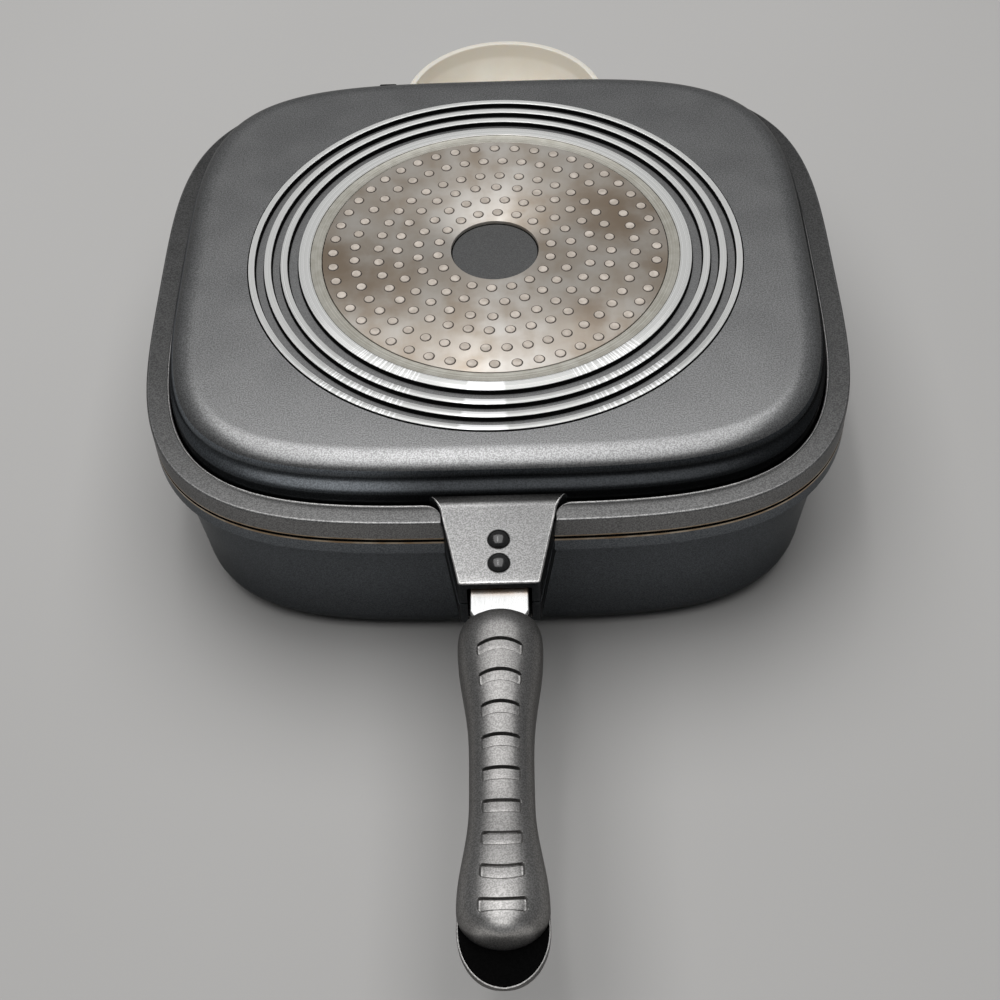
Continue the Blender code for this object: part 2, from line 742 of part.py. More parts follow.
def face_plan(side, inset, low, high):
    """Returns the grip's plan, inset and extruded between two heights over the mating plane."""
    stations = grip_stations(side, inset)
    outline = [(wide, reach) for reach, wide, _, _ in stations]
    outline += [(-wide, reach) for reach, wide, _, _ in reversed(stations)]
    rings = []
    for height in (low, high):
        rings.append([Vector((x, -reach, UPPER_BOTTOM + height)) for x, reach in outline])
    return half_turn(side, loft(rings))


def slot_cutters(side):
    """Returns the curved shallow cuts across a grip's back, one body for each slot."""
    bodies = []
    for index in range(SLOT_COUNT):
        reach = SLOT_FIRST_REACH + SLOT_PITCH * index
        share = index / (SLOT_COUNT - 1)
        bow = SLOT_FIRST_BOW * (1 - share) - SLOT_LAST_BOW * share
        wide, tall = grip_size(side, reach)
        half = wide * SLOT_HALF_LENGTH_SHARE
        rings = []
        for step in range(7):
            across = -1 + step / 3
            x = half * across
            crown = (tall - GRIP_LIP) * math.sqrt(1 - (x / wide) ** 2)
            floor = UPPER_BOTTOM + GRIP_LIP + crown - SLOT_DEPTH
            near = reach - bow * (1 - across**2)
            far = near + SLOT_WIDTH
            top = UPPER_BOTTOM + tall + OVERRUN
            rings.append(
                [
                    Vector((x, -near, floor)),
                    Vector((x, -far, floor)),
                    Vector((x, -far, top)),
                    Vector((x, -near, top)),
                ]
            )
        bodies.append(loft(rings))
    return half_turn(side, merged(bodies))


def grip_screw_mesh(side):
    """Countersunk screw through the face plate into the tang."""
    tip = UPPER_BOTTOM + TANG_TOP - FIT_GAP
    head = UPPER_BOTTOM + FIT_GAP
    profile = [
        (GRIP_SCREW_HEAD_RADIUS, head),
        (GRIP_SCREW_RADIUS, head + GRIP_SCREW_HEAD_HEIGHT),
        (GRIP_SCREW_RADIUS, tip),
    ]
    return half_turn(side, moved(turned(profile), (0, -GRIP_SCREW_REACH, 0)))


def grip_screw_cut(side, name):
    """Returns the cutter for the grip screw's hole and countersink."""
    head = UPPER_BOTTOM + FIT_GAP
    profile = [
        (GRIP_SCREW_HEAD_RADIUS + FIT_GAP, head - OVERRUN),
        (GRIP_SCREW_HEAD_RADIUS + FIT_GAP, head),
        (GRIP_SCREW_RADIUS + FIT_GAP, head + GRIP_SCREW_HEAD_HEIGHT),
        (GRIP_SCREW_RADIUS + FIT_GAP, UPPER_BOTTOM + TANG_TOP + FIT_GAP / 2),
    ]
    return tool(name, half_turn(side, moved(turned(profile), (0, -GRIP_SCREW_REACH, 0))))


# Hinge


def knuckle_arc(start, end, steps):
    """Returns points of the knuckle's circle in the (y, z) plane."""
    arc = []
    for step in range(steps + 1):
        angle = math.radians(start + (end - start) * step / steps)
        y = HINGE_REACH + KNUCKLE_RADIUS * math.cos(angle)
        arc.append((y, HINGE_Z + KNUCKLE_RADIUS * math.sin(angle)))
    return arc


def upper_arm_polygon():
    """Side view of the upper pan's hinge arm."""
    bite = RIM_HALF_DEPTH - RIB_WIDTH + CHANNEL_INSET
    clear = RIM_HALF_DEPTH - FIT_GAP
    low = UPPER_BOTTOM + FIT_GAP
    top = UPPER_BOTTOM + RIM_HEIGHT - RIM_EDGE_ROUNDING
    roof = UPPER_BOTTOM + CHANNEL_DEPTH + FIT_GAP
    arc = knuckle_arc(225, 420, 9)
    return [(clear, low), *arc, (bite, top), (bite, roof), (clear - CHANNEL_INSET, roof)]


def ear_polygon():
    """Side view of the lower pan's hinge ear."""
    bite = RIM_HALF_DEPTH - RIM_HEIGHT - CHANNEL_INSET / 2
    top = LOWER_TOP - FIT_GAP
    low = LOWER_TOP - RIM_HEIGHT + RIM_EDGE_ROUNDING
    return [(bite, low), *knuckle_arc(240, 450, 10), (bite, top)]


def hinge_bore(name, low, high):
    """Returns the cutter for a hinge bore between two places along X."""
    hole = along_x(rod(BORE_RADIUS, low, high))
    return tool(name, moved(hole, (0, HINGE_REACH, HINGE_Z)))


def hinge_pin_mesh(hand):
    """Headed hinge pin; hand is -1 on the left and 1 on the right."""
    inner = KNUCKLE_INNER - FIT_GAP - EAR_THICKNESS
    outer = KNUCKLE_INNER + KNUCKLE_LENGTH + FIT_GAP + EAR_THICKNESS
    tip = inner - FIT_GAP - CLIP_THICKNESS - PIN_TIP
    head = outer + FIT_GAP
    profile = [
        (PIN_RADIUS, tip),
        (PIN_RADIUS, head),
        (PIN_HEAD_RADIUS, head),
        (PIN_HEAD_RADIUS, head + PIN_HEAD_HEIGHT),
    ]
    bm = along_x(turned(profile))
    for vert in bm.verts:
        vert.co.x *= hand
    return moved(outward(bm), (0, HINGE_REACH, HINGE_Z))


def pin_clip_mesh(hand):
    """Retaining ring round the pin's inner end."""
    inner = KNUCKLE_INNER - FIT_GAP - EAR_THICKNESS
    near = inner - FIT_GAP
    far = near - CLIP_THICKNESS
    rings = []
    for radius, x in ((BORE_RADIUS, near), (CLIP_RADIUS, near), (CLIP_RADIUS, far), (BORE_RADIUS, far)):
        ring = []
        for index in range(ROUND_SEGMENTS):
            angle = index / ROUND_SEGMENTS * math.tau
            y = HINGE_REACH + radius * math.cos(angle)
            ring.append(Vector((x * hand, y, HINGE_Z + radius * math.sin(angle))))
        rings.append(ring)
    return closed_ring(rings)


# Drip tray


def tray_loop(inset, z):
    """Returns the tray's half-moon outline, moved inward by an inset, at a level."""
    radius = TRAY_RADIUS - inset
    start = math.asin(inset / radius)
    loop = []
    for step in range(TRAY_ARC_STEPS + 1):
        angle = start + (math.pi - 2 * start) * step / TRAY_ARC_STEPS
        x = TRAY_OFFSET + radius * math.cos(angle)
        loop.append(Vector((x, TRAY_REACH + radius * math.sin(angle), z)))
    return loop


def tray_mesh():
    """Half-moon cup with a rolled lip and a ledge inside."""
    top = TRAY_RIM_Z
    bottom = top - TRAY_HEIGHT
    loops = [
        tray_loop(TRAY_LIP + TRAY_TAPER + TRAY_WALL, bottom),
        tray_loop(TRAY_LIP + TRAY_TAPER, bottom + TRAY_WALL),
        tray_loop(TRAY_LIP, top - TRAY_LIP_HEIGHT),
        tray_loop(0, top - TRAY_LIP_HEIGHT),
        tray_loop(0, top),
        tray_loop(TRAY_LIP + TRAY_WALL, top),
        tray_loop(TRAY_LIP + TRAY_WALL, top - TRAY_LEDGE_DROP),
        tray_loop(TRAY_LIP + TRAY_WALL + TRAY_LEDGE, top - TRAY_LEDGE_DROP),
        tray_loop(TRAY_LIP + TRAY_TAPER + TRAY_WALL + TRAY_LEDGE, bottom + 2 * TRAY_WALL),
        tray_loop(TRAY_LIP + TRAY_TAPER + 2 * TRAY_WALL + TRAY_LEDGE, bottom + TRAY_WALL),
    ]
    return loft(loops)


def prong_places():
    """Returns the places of the rail's prongs along X."""
    return (TRAY_OFFSET - SOCKET_SPACING, TRAY_OFFSET + SOCKET_SPACING)


def build():
    """Builds every piece."""
    clear_scene()
    paint = material("graphite_paint", (0.16, 0.165, 0.17), 0.42, 0.55)
    stainless = material("perforated_stainless", (0.42, 0.36, 0.32), 0.32, 1.0)
    rubber = material("seal_rubber", (0.05, 0.05, 0.05), 0.6, 0.0)
    steel = material("tang_steel", (0.62, 0.61, 0.6), 0.25, 1.0)
    black = material("black_fastener", (0.012, 0.012, 0.014), 0.22, 0.3)
    grip_paint = material("grip_coating", (0.2, 0.198, 0.195), 0.5, 0.15)
    face_black = material("face_plastic", (0.02, 0.02, 0.022), 0.4, 0.0)
    magnet = material("magnet_nickel", (0.5, 0.5, 0.5), 0.3, 1.0)
    cream = material("tray_plastic", (0.78, 0.74, 0.66), 0.35, 0.0)

    lid_axis = add_empty("lid_axis", (0, HINGE_REACH, HINGE_Z))
    tray_axis = add_empty("tray_axis", (TRAY_OFFSET, TRAY_REACH, TRAY_RIM_Z))
    hinge_place = (0, HINGE_REACH, HINGE_Z)

    upper = add_object("upper_pan", upper_pan_mesh(), paint, hinge_place, lid_axis)
    lower = add_object("lower_pan", lower_pan_mesh(), paint)
    for side, pan in (("upper", upper), ("lower", lower)):
        block, hollow = bracket_solids(side)
        block_tool = tool(f"{side}_bracket_block", block)
        cut_tools = [tool(f"{side}_bracket_hollow", hollow)]
        holes = rivet_holes(side, BRACKET_ROOF - OVERRUN, BRACKET_HEIGHT + OVERRUN)
        for index, hole in enumerate(holes):
            cut_tools.append(tool(f"{side}_rivet_hole_{index + 1}", hole))
        combine(pan, [block_tool], "UNION")
        combine(pan, cut_tools, "DIFFERENCE")

    for hand, word in ((-1, "left"), (1, "right")):
        ends = (hand * KNUCKLE_INNER, hand * (KNUCKLE_INNER + KNUCKLE_LENGTH))
        arm = tool(f"{word}_arm", prism(upper_arm_polygon(), min(ends), max(ends)))
        combine(upper, [arm], "UNION")
        low = min(ends) - OVERRUN
        high = max(ends) + OVERRUN
        combine(upper, [hinge_bore(f"{word}_arm_bore", low, high)], "DIFFERENCE")
        inner = (hand * (KNUCKLE_INNER - FIT_GAP - EAR_THICKNESS), hand * (KNUCKLE_INNER - FIT_GAP))
        start = KNUCKLE_INNER + KNUCKLE_LENGTH + FIT_GAP
        outer = (hand * start, hand * (start + EAR_THICKNESS))
        for label, span in (("inner", inner), ("outer", outer)):
            ear = tool(f"{word}_{label}_ear", prism(ear_polygon(), min(span), max(span)))
            combine(lower, [ear], "UNION")
        reach = hand * (start + EAR_THICKNESS + OVERRUN)
        back = hand * (KNUCKLE_INNER - FIT_GAP - EAR_THICKNESS - OVERRUN)
        combine(lower, [hinge_bore(f"{word}_ear_bore", min(reach, back), max(reach, back))], "DIFFERENCE")

    boss_start = RIM_HALF_DEPTH - lower_wall_inset(LOWER_TOP - RAIL_MIDDLE_Z) - LOWER_WALL / 2
    boss_end = RAIL_REACH - FIT_GAP
    for hand, word in ((-1, "left"), (1, "right")):
        place = (hand * RAIL_BOSS_SPACING, 0, RAIL_MIDDLE_Z)
        boss = moved(along_y(rod(RAIL_BOSS_RADIUS, boss_start, boss_end)), place)
        combine(lower, [tool(f"{word}_rail_boss", boss)], "UNION")
        depth = boss_end - RAIL_SCREW_LENGTH - FIT_GAP
        hole = along_y(rod(RAIL_SCREW_RADIUS + FIT_GAP, depth, boss_end + OVERRUN, SCREW_SEGMENTS))
        combine(lower, [tool(f"{word}_rail_boss_hole", moved(hole, place))], "DIFFERENCE")

    add_object("upper_base_plate", plate_mesh(TOTAL_HEIGHT, 1), stainless, hinge_place, lid_axis)
    add_object("lower_base_plate", plate_mesh(0, -1), stainless)
    add_object("rim_gasket", gasket_mesh(), rubber, hinge_place, lid_axis)

    for side in ("upper", "lower"):
        parent = lid_axis if side == "upper" else None
        place = hinge_place if side == "upper" else (0, 0, 0)
        tang = add_object(f"{side}_tang", tang_mesh(side, 0), steel, place, parent)
        cuts = [
            tool(f"{side}_tang_hole_{index + 1}", hole)
            for index, hole in enumerate(rivet_holes(side, TANG_BOTTOM - OVERRUN, TANG_TOP + OVERRUN))
        ]
        screw_low = UPPER_BOTTOM + TANG_BOTTOM - OVERRUN
        screw_high = UPPER_BOTTOM + TANG_TOP + OVERRUN
        screw_hole = rod(GRIP_SCREW_RADIUS + FIT_GAP, screw_low, screw_high)
        screw_hole = half_turn(side, moved(screw_hole, (0, -GRIP_SCREW_REACH, 0)))
        cuts.append(tool(f"{side}_tang_screw_hole", screw_hole))
        combine(tang, cuts, "DIFFERENCE")
        for index, reach in enumerate(RIVET_REACHES):
            add_object(f"{side}_tang_rivet_{index + 1}", rivet_mesh(side, reach), black, place, parent)

        grip = add_object(f"{side}_grip", grip_mesh(side), grip_paint, place, parent)
        combine(
            grip,
            [
                tool(f"{side}_slots", slot_cutters(side)),
                tool(f"{side}_face_pocket", face_plan(side, GRIP_FACE_RIM, -OVERRUN, FACE_POCKET)),
                tool(f"{side}_tang_pocket", tang_mesh(side, FIT_GAP)),
                tool(
                    f"{side}_magnet_pocket",
                    half_turn(
                        side,
                        moved(
                            rod(
                                MAGNET_RADIUS + FIT_GAP,
                                UPPER_BOTTOM + FACE_PLATE_THICKNESS - OVERRUN / 2,
                                UPPER_BOTTOM + FACE_POCKET + MAGNET_THICKNESS + FIT_GAP,
                            ),
                            (0, -MAGNET_REACH, 0),
                        ),
                    ),
                ),
                grip_screw_cut(side, f"{side}_grip_screw_cut"),
            ],
            "DIFFERENCE",
        )
        plate = add_object(
            f"{side}_grip_face",
            face_plan(side, GRIP_FACE_RIM + FIT_GAP, 0, FACE_PLATE_THICKNESS),
            face_black,
            place,
            parent,
        )
        combine(plate, [grip_screw_cut(side, f"{side}_face_screw_cut")], "DIFFERENCE")
        disc = rod(MAGNET_RADIUS, UPPER_BOTTOM + FACE_POCKET, UPPER_BOTTOM + FACE_POCKET + MAGNET_THICKNESS)
        disc = half_turn(side, moved(disc, (0, -MAGNET_REACH, 0)))
        add_object(f"{side}_magnet", disc, magnet, place, parent)
        add_object(f"{side}_grip_screw", grip_screw_mesh(side), black, place, parent)

    for hand, word in ((-1, "left"), (1, "right")):
        add_object(f"{word}_hinge_pin", hinge_pin_mesh(hand), steel)
        add_object(f"{word}_pin_clip", pin_clip_mesh(hand), steel)

    tray_place = (TRAY_OFFSET, TRAY_REACH, TRAY_RIM_Z)
    tray = add_object("drip_tray", tray_mesh(), cream, tray_place, tray_axis)
    rail_back = RAIL_REACH + RAIL_THICKNESS
    prong_z = (RAIL_MIDDLE_Z - RAIL_THICKNESS / 2, RAIL_MIDDLE_Z + RAIL_THICKNESS / 2)
    prong_end = TRAY_REACH + PRONG_LENGTH
    rail = add_object(
        "tray_rail",
        box((-RAIL_LEFT, RAIL_RIGHT), (RAIL_REACH, rail_back), (RAIL_TOP_Z - RAIL_HEIGHT, RAIL_TOP_Z)),
        steel,
    )
    sockets = []
    pockets = []
    wall_start = TRAY_REACH + TRAY_LIP + TRAY_WALL / 2
    for index, x in enumerate(prong_places()):
        span = (x - PRONG_WIDTH / 2, x + PRONG_WIDTH / 2)
        prong = box(span, (RAIL_REACH + RAIL_THICKNESS / 2, prong_end), prong_z)
        combine(rail, [tool(f"prong_{index + 1}", prong)], "UNION")
        wide = (span[0] - FIT_GAP - SOCKET_WALL, span[1] + FIT_GAP + SOCKET_WALL)
        tall = (prong_z[0] - FIT_GAP - SOCKET_WALL, prong_z[1] + FIT_GAP + SOCKET_WALL)
        socket = box(wide, (wall_start, prong_end + FIT_GAP + SOCKET_WALL), tall)
        sockets.append(tool(f"socket_{index + 1}", socket))
        hole = box(
            (span[0] - FIT_GAP, span[1] + FIT_GAP),
            (TRAY_REACH - OVERRUN, prong_end + FIT_GAP),
            (prong_z[0] - FIT_GAP, prong_z[1] + FIT_GAP),
        )
        pockets.append(tool(f"socket_pocket_{index + 1}", hole))
    combine(tray, sockets, "UNION")
    combine(tray, pockets, "DIFFERENCE")

    arm_middle = -LATCH_LEFT + LATCH_WIDTH / 2
    arm_x = (arm_middle - LATCH_ARM_WIDTH / 2, arm_middle + LATCH_ARM_WIDTH / 2)
    arm_end = LATCH_REACH + LATCH_DEPTH - SOCKET_WALL
    arm = box(arm_x, (RAIL_REACH + RAIL_THICKNESS / 2, arm_end), prong_z)
    combine(rail, [tool("latch_arm", arm)], "UNION")
    for hand, word in ((-1, "left"), (1, "right")):
        radius = RAIL_SCREW_RADIUS + FIT_GAP
        hole = along_y(rod(radius, RAIL_REACH - OVERRUN, rail_back + OVERRUN, SCREW_SEGMENTS))
        place = (hand * RAIL_BOSS_SPACING, 0, RAIL_MIDDLE_Z)
        combine(rail, [tool(f"{word}_rail_hole", moved(hole, place))], "DIFFERENCE")

    head = rail_back + FIT_GAP
    profile = [
        (RAIL_SCREW_RADIUS, boss_end - RAIL_SCREW_LENGTH),
        (RAIL_SCREW_RADIUS, head),
        (RAIL_SCREW_HEAD_RADIUS, head),
        (RAIL_SCREW_HEAD_RADIUS, head + RAIL_SCREW_HEAD_HEIGHT),
    ]
    for hand, word in ((-1, "left"), (1, "right")):
        place = (hand * RAIL_BOSS_SPACING, 0, RAIL_MIDDLE_Z)
        screw = moved(along_y(turned(profile, SCREW_SEGMENTS)), place)
        add_object(f"{word}_rail_screw", screw, steel)

    latch_top = RAIL_MIDDLE_Z + LATCH_HEIGHT - RAIL_THICKNESS - SOCKET_WALL
    latch_x = (-LATCH_LEFT, -LATCH_LEFT + LATCH_WIDTH)
    latch = add_object(
        "tray_latch",
        box(latch_x, (LATCH_REACH, LATCH_REACH + LATCH_DEPTH), (latch_top - LATCH_HEIGHT, latch_top)),
        face_black,
    )
    latch_pocket = box(
        (arm_x[0] - FIT_GAP, arm_x[1] + FIT_GAP),
        (LATCH_REACH - OVERRUN, arm_end + FIT_GAP),
        (prong_z[0] - FIT_GAP, prong_z[1] + FIT_GAP),
    )
    combine(latch, [tool("latch_pocket", latch_pocket)], "DIFFERENCE")


build()
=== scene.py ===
"""Looks of the double sided flip pan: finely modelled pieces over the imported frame, and a small studio."""

from __future__ import annotations

import logging
import math
from collections.abc import Sequence
from dataclasses import dataclass, field
from enum import Enum, IntEnum

import bmesh
import bpy
import numpy as np
from bpy.types import Material, Mesh, Node, NodeSocket, NodeTree, Object
from mathutils import Matrix, Vector

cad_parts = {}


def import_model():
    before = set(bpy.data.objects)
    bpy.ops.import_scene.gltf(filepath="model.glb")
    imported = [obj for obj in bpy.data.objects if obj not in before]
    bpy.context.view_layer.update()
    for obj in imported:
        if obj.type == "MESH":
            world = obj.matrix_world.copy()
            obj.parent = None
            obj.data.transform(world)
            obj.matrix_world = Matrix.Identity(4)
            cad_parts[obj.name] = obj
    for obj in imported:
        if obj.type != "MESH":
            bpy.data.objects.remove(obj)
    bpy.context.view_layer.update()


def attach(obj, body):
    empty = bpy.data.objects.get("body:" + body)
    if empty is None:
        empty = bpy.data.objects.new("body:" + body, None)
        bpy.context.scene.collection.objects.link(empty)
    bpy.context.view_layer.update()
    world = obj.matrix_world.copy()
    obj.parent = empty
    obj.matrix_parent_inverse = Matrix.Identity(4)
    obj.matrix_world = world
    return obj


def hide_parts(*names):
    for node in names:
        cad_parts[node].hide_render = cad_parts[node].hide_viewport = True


LOG = logging.getLogger("flip_pan")

Level = float | np.ndarray
Row = tuple[Level, Level, int]
Triple = tuple[float, float, float]
# A row of painted shade or light: an axis, where the tone takes a share, where it is whole again, and that share
PaintedLightRow = tuple[str, float, float, float]

# The frame's own places: middle of the pan along Y, level about which the lower pieces are mirrored,
# underside of the upper pan, face of the upper base, and the gap between pieces that fit
PAN_Y = 0.05765
MIDDLE = 0.07315
UPPER_BOTTOM = 0.0733
FACE = 0.098
FIT_GAP = 0.0003

FLOOR_NAME = "studio_floor"
TURNED_MAP = "turned"
MAP_SCALE = 10
AXIS_RADIUS = 1e-6
SMOOTH_LIMIT = math.radians(38)

# Level below which the shoulder takes the moat's paint. Its rows are painted shade on the shoulder's foot, the
# wall and the moat, darker toward the moat and from a little left of the middle rightward, with painted light
# that lifts the bead under the shoulder
MOAT_TOP = 0.0938
MOAT_PAINTED_LIGHT: tuple[PaintedLightRow, ...] = (
    ("Z", 0.0914, MOAT_TOP, 0.3),
    ("Z", 0.0898, 0.0910, 1.35),
    ("Z", 0.0866, 0.0890, 0.5),
    ("Z", 0.0812, 0.0856, 0.12),
    ("X", -0.02, -0.06, 0.28),
)
# Painted shade that dims this paint below the shoulder's bend, and with it the shoulder's highlight
SHOULDER_PAINTED_SHADE: tuple[PaintedLightRow, ...] = (("Z", 0.0940, 0.0970, 0.62),)
# Painted shade on the upper bracket where it meets the pan's wall, and toward its right side
ROOT_PAINTED_SHADE: tuple[PaintedLightRow, ...] = (
    ("Y", PAN_Y - 0.1232, PAN_Y - 0.1250, 0.12),
    ("Y", PAN_Y - 0.1240, PAN_Y - 0.1265, 0.6),
    ("X", 0.016, -0.010, 0.84),
)
# Painted shade on the lower pan, darker toward the floor
FOOT_PAINTED_SHADE: tuple[PaintedLightRow, ...] = (("Z", 0.0050, 0.0500, 0.55),)


class Side(Enum):
    """Which of the two pans a piece belongs to."""

    UPPER = "upper"
    LOWER = "lower"

    @property
    def body(self) -> str:
        """Name of the body that this side moves with."""
        return "lid" if self is Side.UPPER else "base"

    def node(self, name: str) -> str:
        """Name of this side's node."""
        return f"{self.value}_{name}"

    @property
    def face(self) -> float:
        """Level of this side's base face."""
        return FACE if self is Side.UPPER else 0.0

    @property
    def inward(self) -> int:
        """Way from the base face into the metal along Z."""
        return -1 if self is Side.UPPER else 1

    @property
    def turn(self) -> Triple:
        """Turn about the world axes that lays fasteners drawn for the upper pan on this side."""
        return (0.0, 0.0, 0.0) if self is Side.UPPER else (math.pi, 0.0, 0.0)

    @property
    def level(self) -> float:
        """Height at which turned fasteners are set so that they end up in place."""
        return 0.0 if self is Side.UPPER else 2 * MIDDLE

    def build(self, shape: Shape, name: str, finishes: Sequence[Material], limit: float = SMOOTH_LIMIT) -> Object:
        """This side's object of a shape that is drawn for the upper pan."""
        return shape.build(self.node(name), finishes, mirrored=self is Side.LOWER, limit=limit)

    def dress(self, piece: Object, node: str, slot: str) -> Object:
        """Ties a piece to this side's body and node."""
        return dress(piece, self.body, self.node(node))


class Coat(IntEnum):
    """Finish numbers of the two castings."""

    PAINT = 0
    COOKING = 1
    BARE = 2
    PAINTED_SHADE = 3
    SCORCHED = 4
    MOAT = 5
    RIM = 6
    EDGE_HIGHLIGHT = 7
    RIB = 8


class Cut(IntEnum):
    """Finish numbers of a turned base face."""

    PAINTED = 0
    BRIGHT = 1
    PAINTED_SHADE = 2


class Cast(IntEnum):
    """Finish numbers of a bracket."""

    PAINT = 0
    FLANK_SHADE = 1
    EDGE_HIGHLIGHT = 2


class Shape:
    """Mesh under construction: rings of points that faces join, with a finish number for each band."""

    def __init__(self) -> None:
        """Starts with no points."""
        self.spots: list[np.ndarray] = []
        self.count = 0
        self.faces: list[list[int]] = []
        self.numbers: list[int] = []

    def ring(self, spots: np.ndarray) -> np.ndarray:
        """Adds points.

        Args:
            spots: One row of x, y and z for each point.

        Returns:
            The numbers of the new points.
        """
        spots = np.asarray(spots, float)
        self.spots.append(spots)
        self.count += len(spots)
        return np.arange(self.count - len(spots), self.count)

    def band(self, first: np.ndarray, second: np.ndarray, number: int = 0, closed: bool = True) -> None:
        """Joins two rings of the same length by four-sided faces.

        Args:
            first: Point numbers of one ring.
            second: Point numbers of the other ring.
            number: Finish number of the faces.
            closed: Whether the last point joins the first one too.
        """
        a, b = (first, second) if closed else (first[:-1], second[:-1])
        c, d = (np.roll(second, -1), np.roll(first, -1)) if closed else (second[1:], first[1:])
        quads = np.stack([a, b, c, d], 1)
        self.faces.extend(quads.tolist())
        self.numbers.extend([number] * len(quads))

    def fan(self, ring: np.ndarray, spot: Sequence[float], number: int = 0) -> None:
        """Closes a ring by triangles that meet in one point.

        Args:
            ring: Point numbers of the ring.
            spot: Where the triangles meet.
            number: Finish number of the faces.
        """
        middle = int(self.ring(np.array([spot]))[0])
        pairs = zip(ring.tolist(), np.roll(ring, -1).tolist())
        rows = [[a, b, middle] for a, b in pairs]
        self.faces.extend(rows)
        self.numbers.extend([number] * len(rows))

    def lid(self, ring: np.ndarray, number: int = 0) -> None:
        """Closes a small flat ring by one face."""
        self.faces.append(ring.tolist())
        self.numbers.append(number)

    def loft(self, rings: Sequence[np.ndarray], numbers: Sequence[int] | int = 0) -> list[np.ndarray]:
        """Adds closed rings and joins each to the next.

        Args:
            rings: Point rows of each ring, all of the same length.
            numbers: Finish number of each band, or one for all.

        Returns:
            The point numbers of each ring.
        """
        rows = [self.ring(ring) for ring in rings]
        for index, (a, b) in enumerate(zip(rows, rows[1:])):
            number = numbers if isinstance(numbers, int) else numbers[index]
            self.band(a, b, number)
        return rows

    def solid(self, rings: Sequence[np.ndarray], number: int = 0) -> None:
        """Adds a closed loft whose two ends are flat.

        Args:
            rings: Point rows of each ring, all of the same length.
            number: Finish number of the faces.
        """
        rows = self.loft(rings, number)
        self.lid(rows[0], number)
        self.lid(rows[-1], number)

    def merge(self, other: Shape) -> None:
        """Takes in the points and faces of another shape.

        Args:
            other: The shape that is added.
        """
        shift = self.count
        for spots in other.spots:
            self.ring(spots)
        self.faces.extend([[index + shift for index in face] for face in other.faces])
        self.numbers.extend(other.numbers)

    def build(
        self,
        name: str,
        finishes: Sequence[Material],
        mirrored: bool = False,
        turned: bool = False,
        limit: float = SMOOTH_LIMIT,
    ) -> Object:
        """Makes the mesh object, with its faces outward.

        Args:
            name: Name of the object.
            finishes: Materials in the order of the finish numbers.
            mirrored: Whether it is turned over to the lower side of the parting level.
            turned: Whether it gets a map of radius and angle round the pan's middle.
            limit: Angle over which an edge stays sharp.

        Returns:
            The new object, linked into the scene.
        """
        spots = np.concatenate(self.spots) + (0, PAN_Y, 0)
        if mirrored:
            spots[:, 2] = 2 * MIDDLE - spots[:, 2]
        mesh = bpy.data.meshes.new(name)
        mesh.from_pydata(spots.tolist(), [], self.faces)
        for finish in finishes:
            mesh.materials.append(finish)
        mesh.polygons.foreach_set("material_index", self.numbers)
        edit = bmesh.new()
        edit.from_mesh(mesh)
        bmesh.ops.recalc_face_normals(edit, faces=edit.faces)
        edit.to_mesh(mesh)
        edit.free()
        mesh.shade_smooth()
        mesh.set_sharp_from_angle(angle=limit)
        if turned:
            turned_map(mesh)
        piece = bpy.data.objects.new(name, mesh)
        bpy.context.scene.collection.objects.link(piece)
        return piece


def turned_map(mesh: Mesh) -> None:
    """Lays a map over a turned mesh: u runs with the radius and v with the angle, without a torn seam.

    Args:
        mesh: Mesh in world place, turned round the pan's middle.
    """
    places = np.zeros(len(mesh.vertices) * 3)
    mesh.vertices.foreach_get("co", places)
    places = places.reshape(-1, 3)
    x, y = places[:, 0], places[:, 1] - PAN_Y
    radius, angle = np.hypot(x, y), np.arctan2(y, x)
    layer = mesh.uv_layers.new(name=TURNED_MAP)
    corners = np.zeros(len(mesh.loops), int)
    mesh.loops.foreach_get("vertex_index", corners)
    values = np.zeros((len(corners), 2))
    for face in mesh.polygons:
        span = slice(face.loop_start, face.loop_start + face.loop_total)
        rows = corners[span]
        turns = angle[rows].copy()
        real = radius[rows] > AXIS_RADIUS
        if turns[real].size and np.ptp(turns[real]) > math.pi:
            turns[turns < 0] += math.tau
        turns[~real] = turns[real].mean() if real.any() else 0
        values[span, 0] = radius[rows] * MAP_SCALE
        values[span, 1] = turns / math.tau
    layer.data.foreach_set("uv", values.ravel())


def leans(first: float, last: float, count: int) -> np.ndarray:
    """Evenly spaced angles in radians between two in degrees."""
    return np.radians(np.linspace(first, last, count))


def arc(centre: tuple[float, float], radius: float, start: float, end: float, steps: int) -> list:
    """Points of an arc.

    Args:
        centre: Middle of the arc.
        radius: Its radius.
        start: First angle in degrees.
        end: Last angle in degrees.
        steps: Number of spans.

    Returns:
        The points, both ends included.
    """
    angles = leans(start, end, steps + 1)
    return [(centre[0] + radius * math.cos(a), centre[1] + radius * math.sin(a)) for a in angles]


def blend(share: float) -> float:
    """Smooth share that leaves 0 and reaches 1 level."""
    return (1 - math.cos(math.pi * min(max(share, 0), 1))) / 2


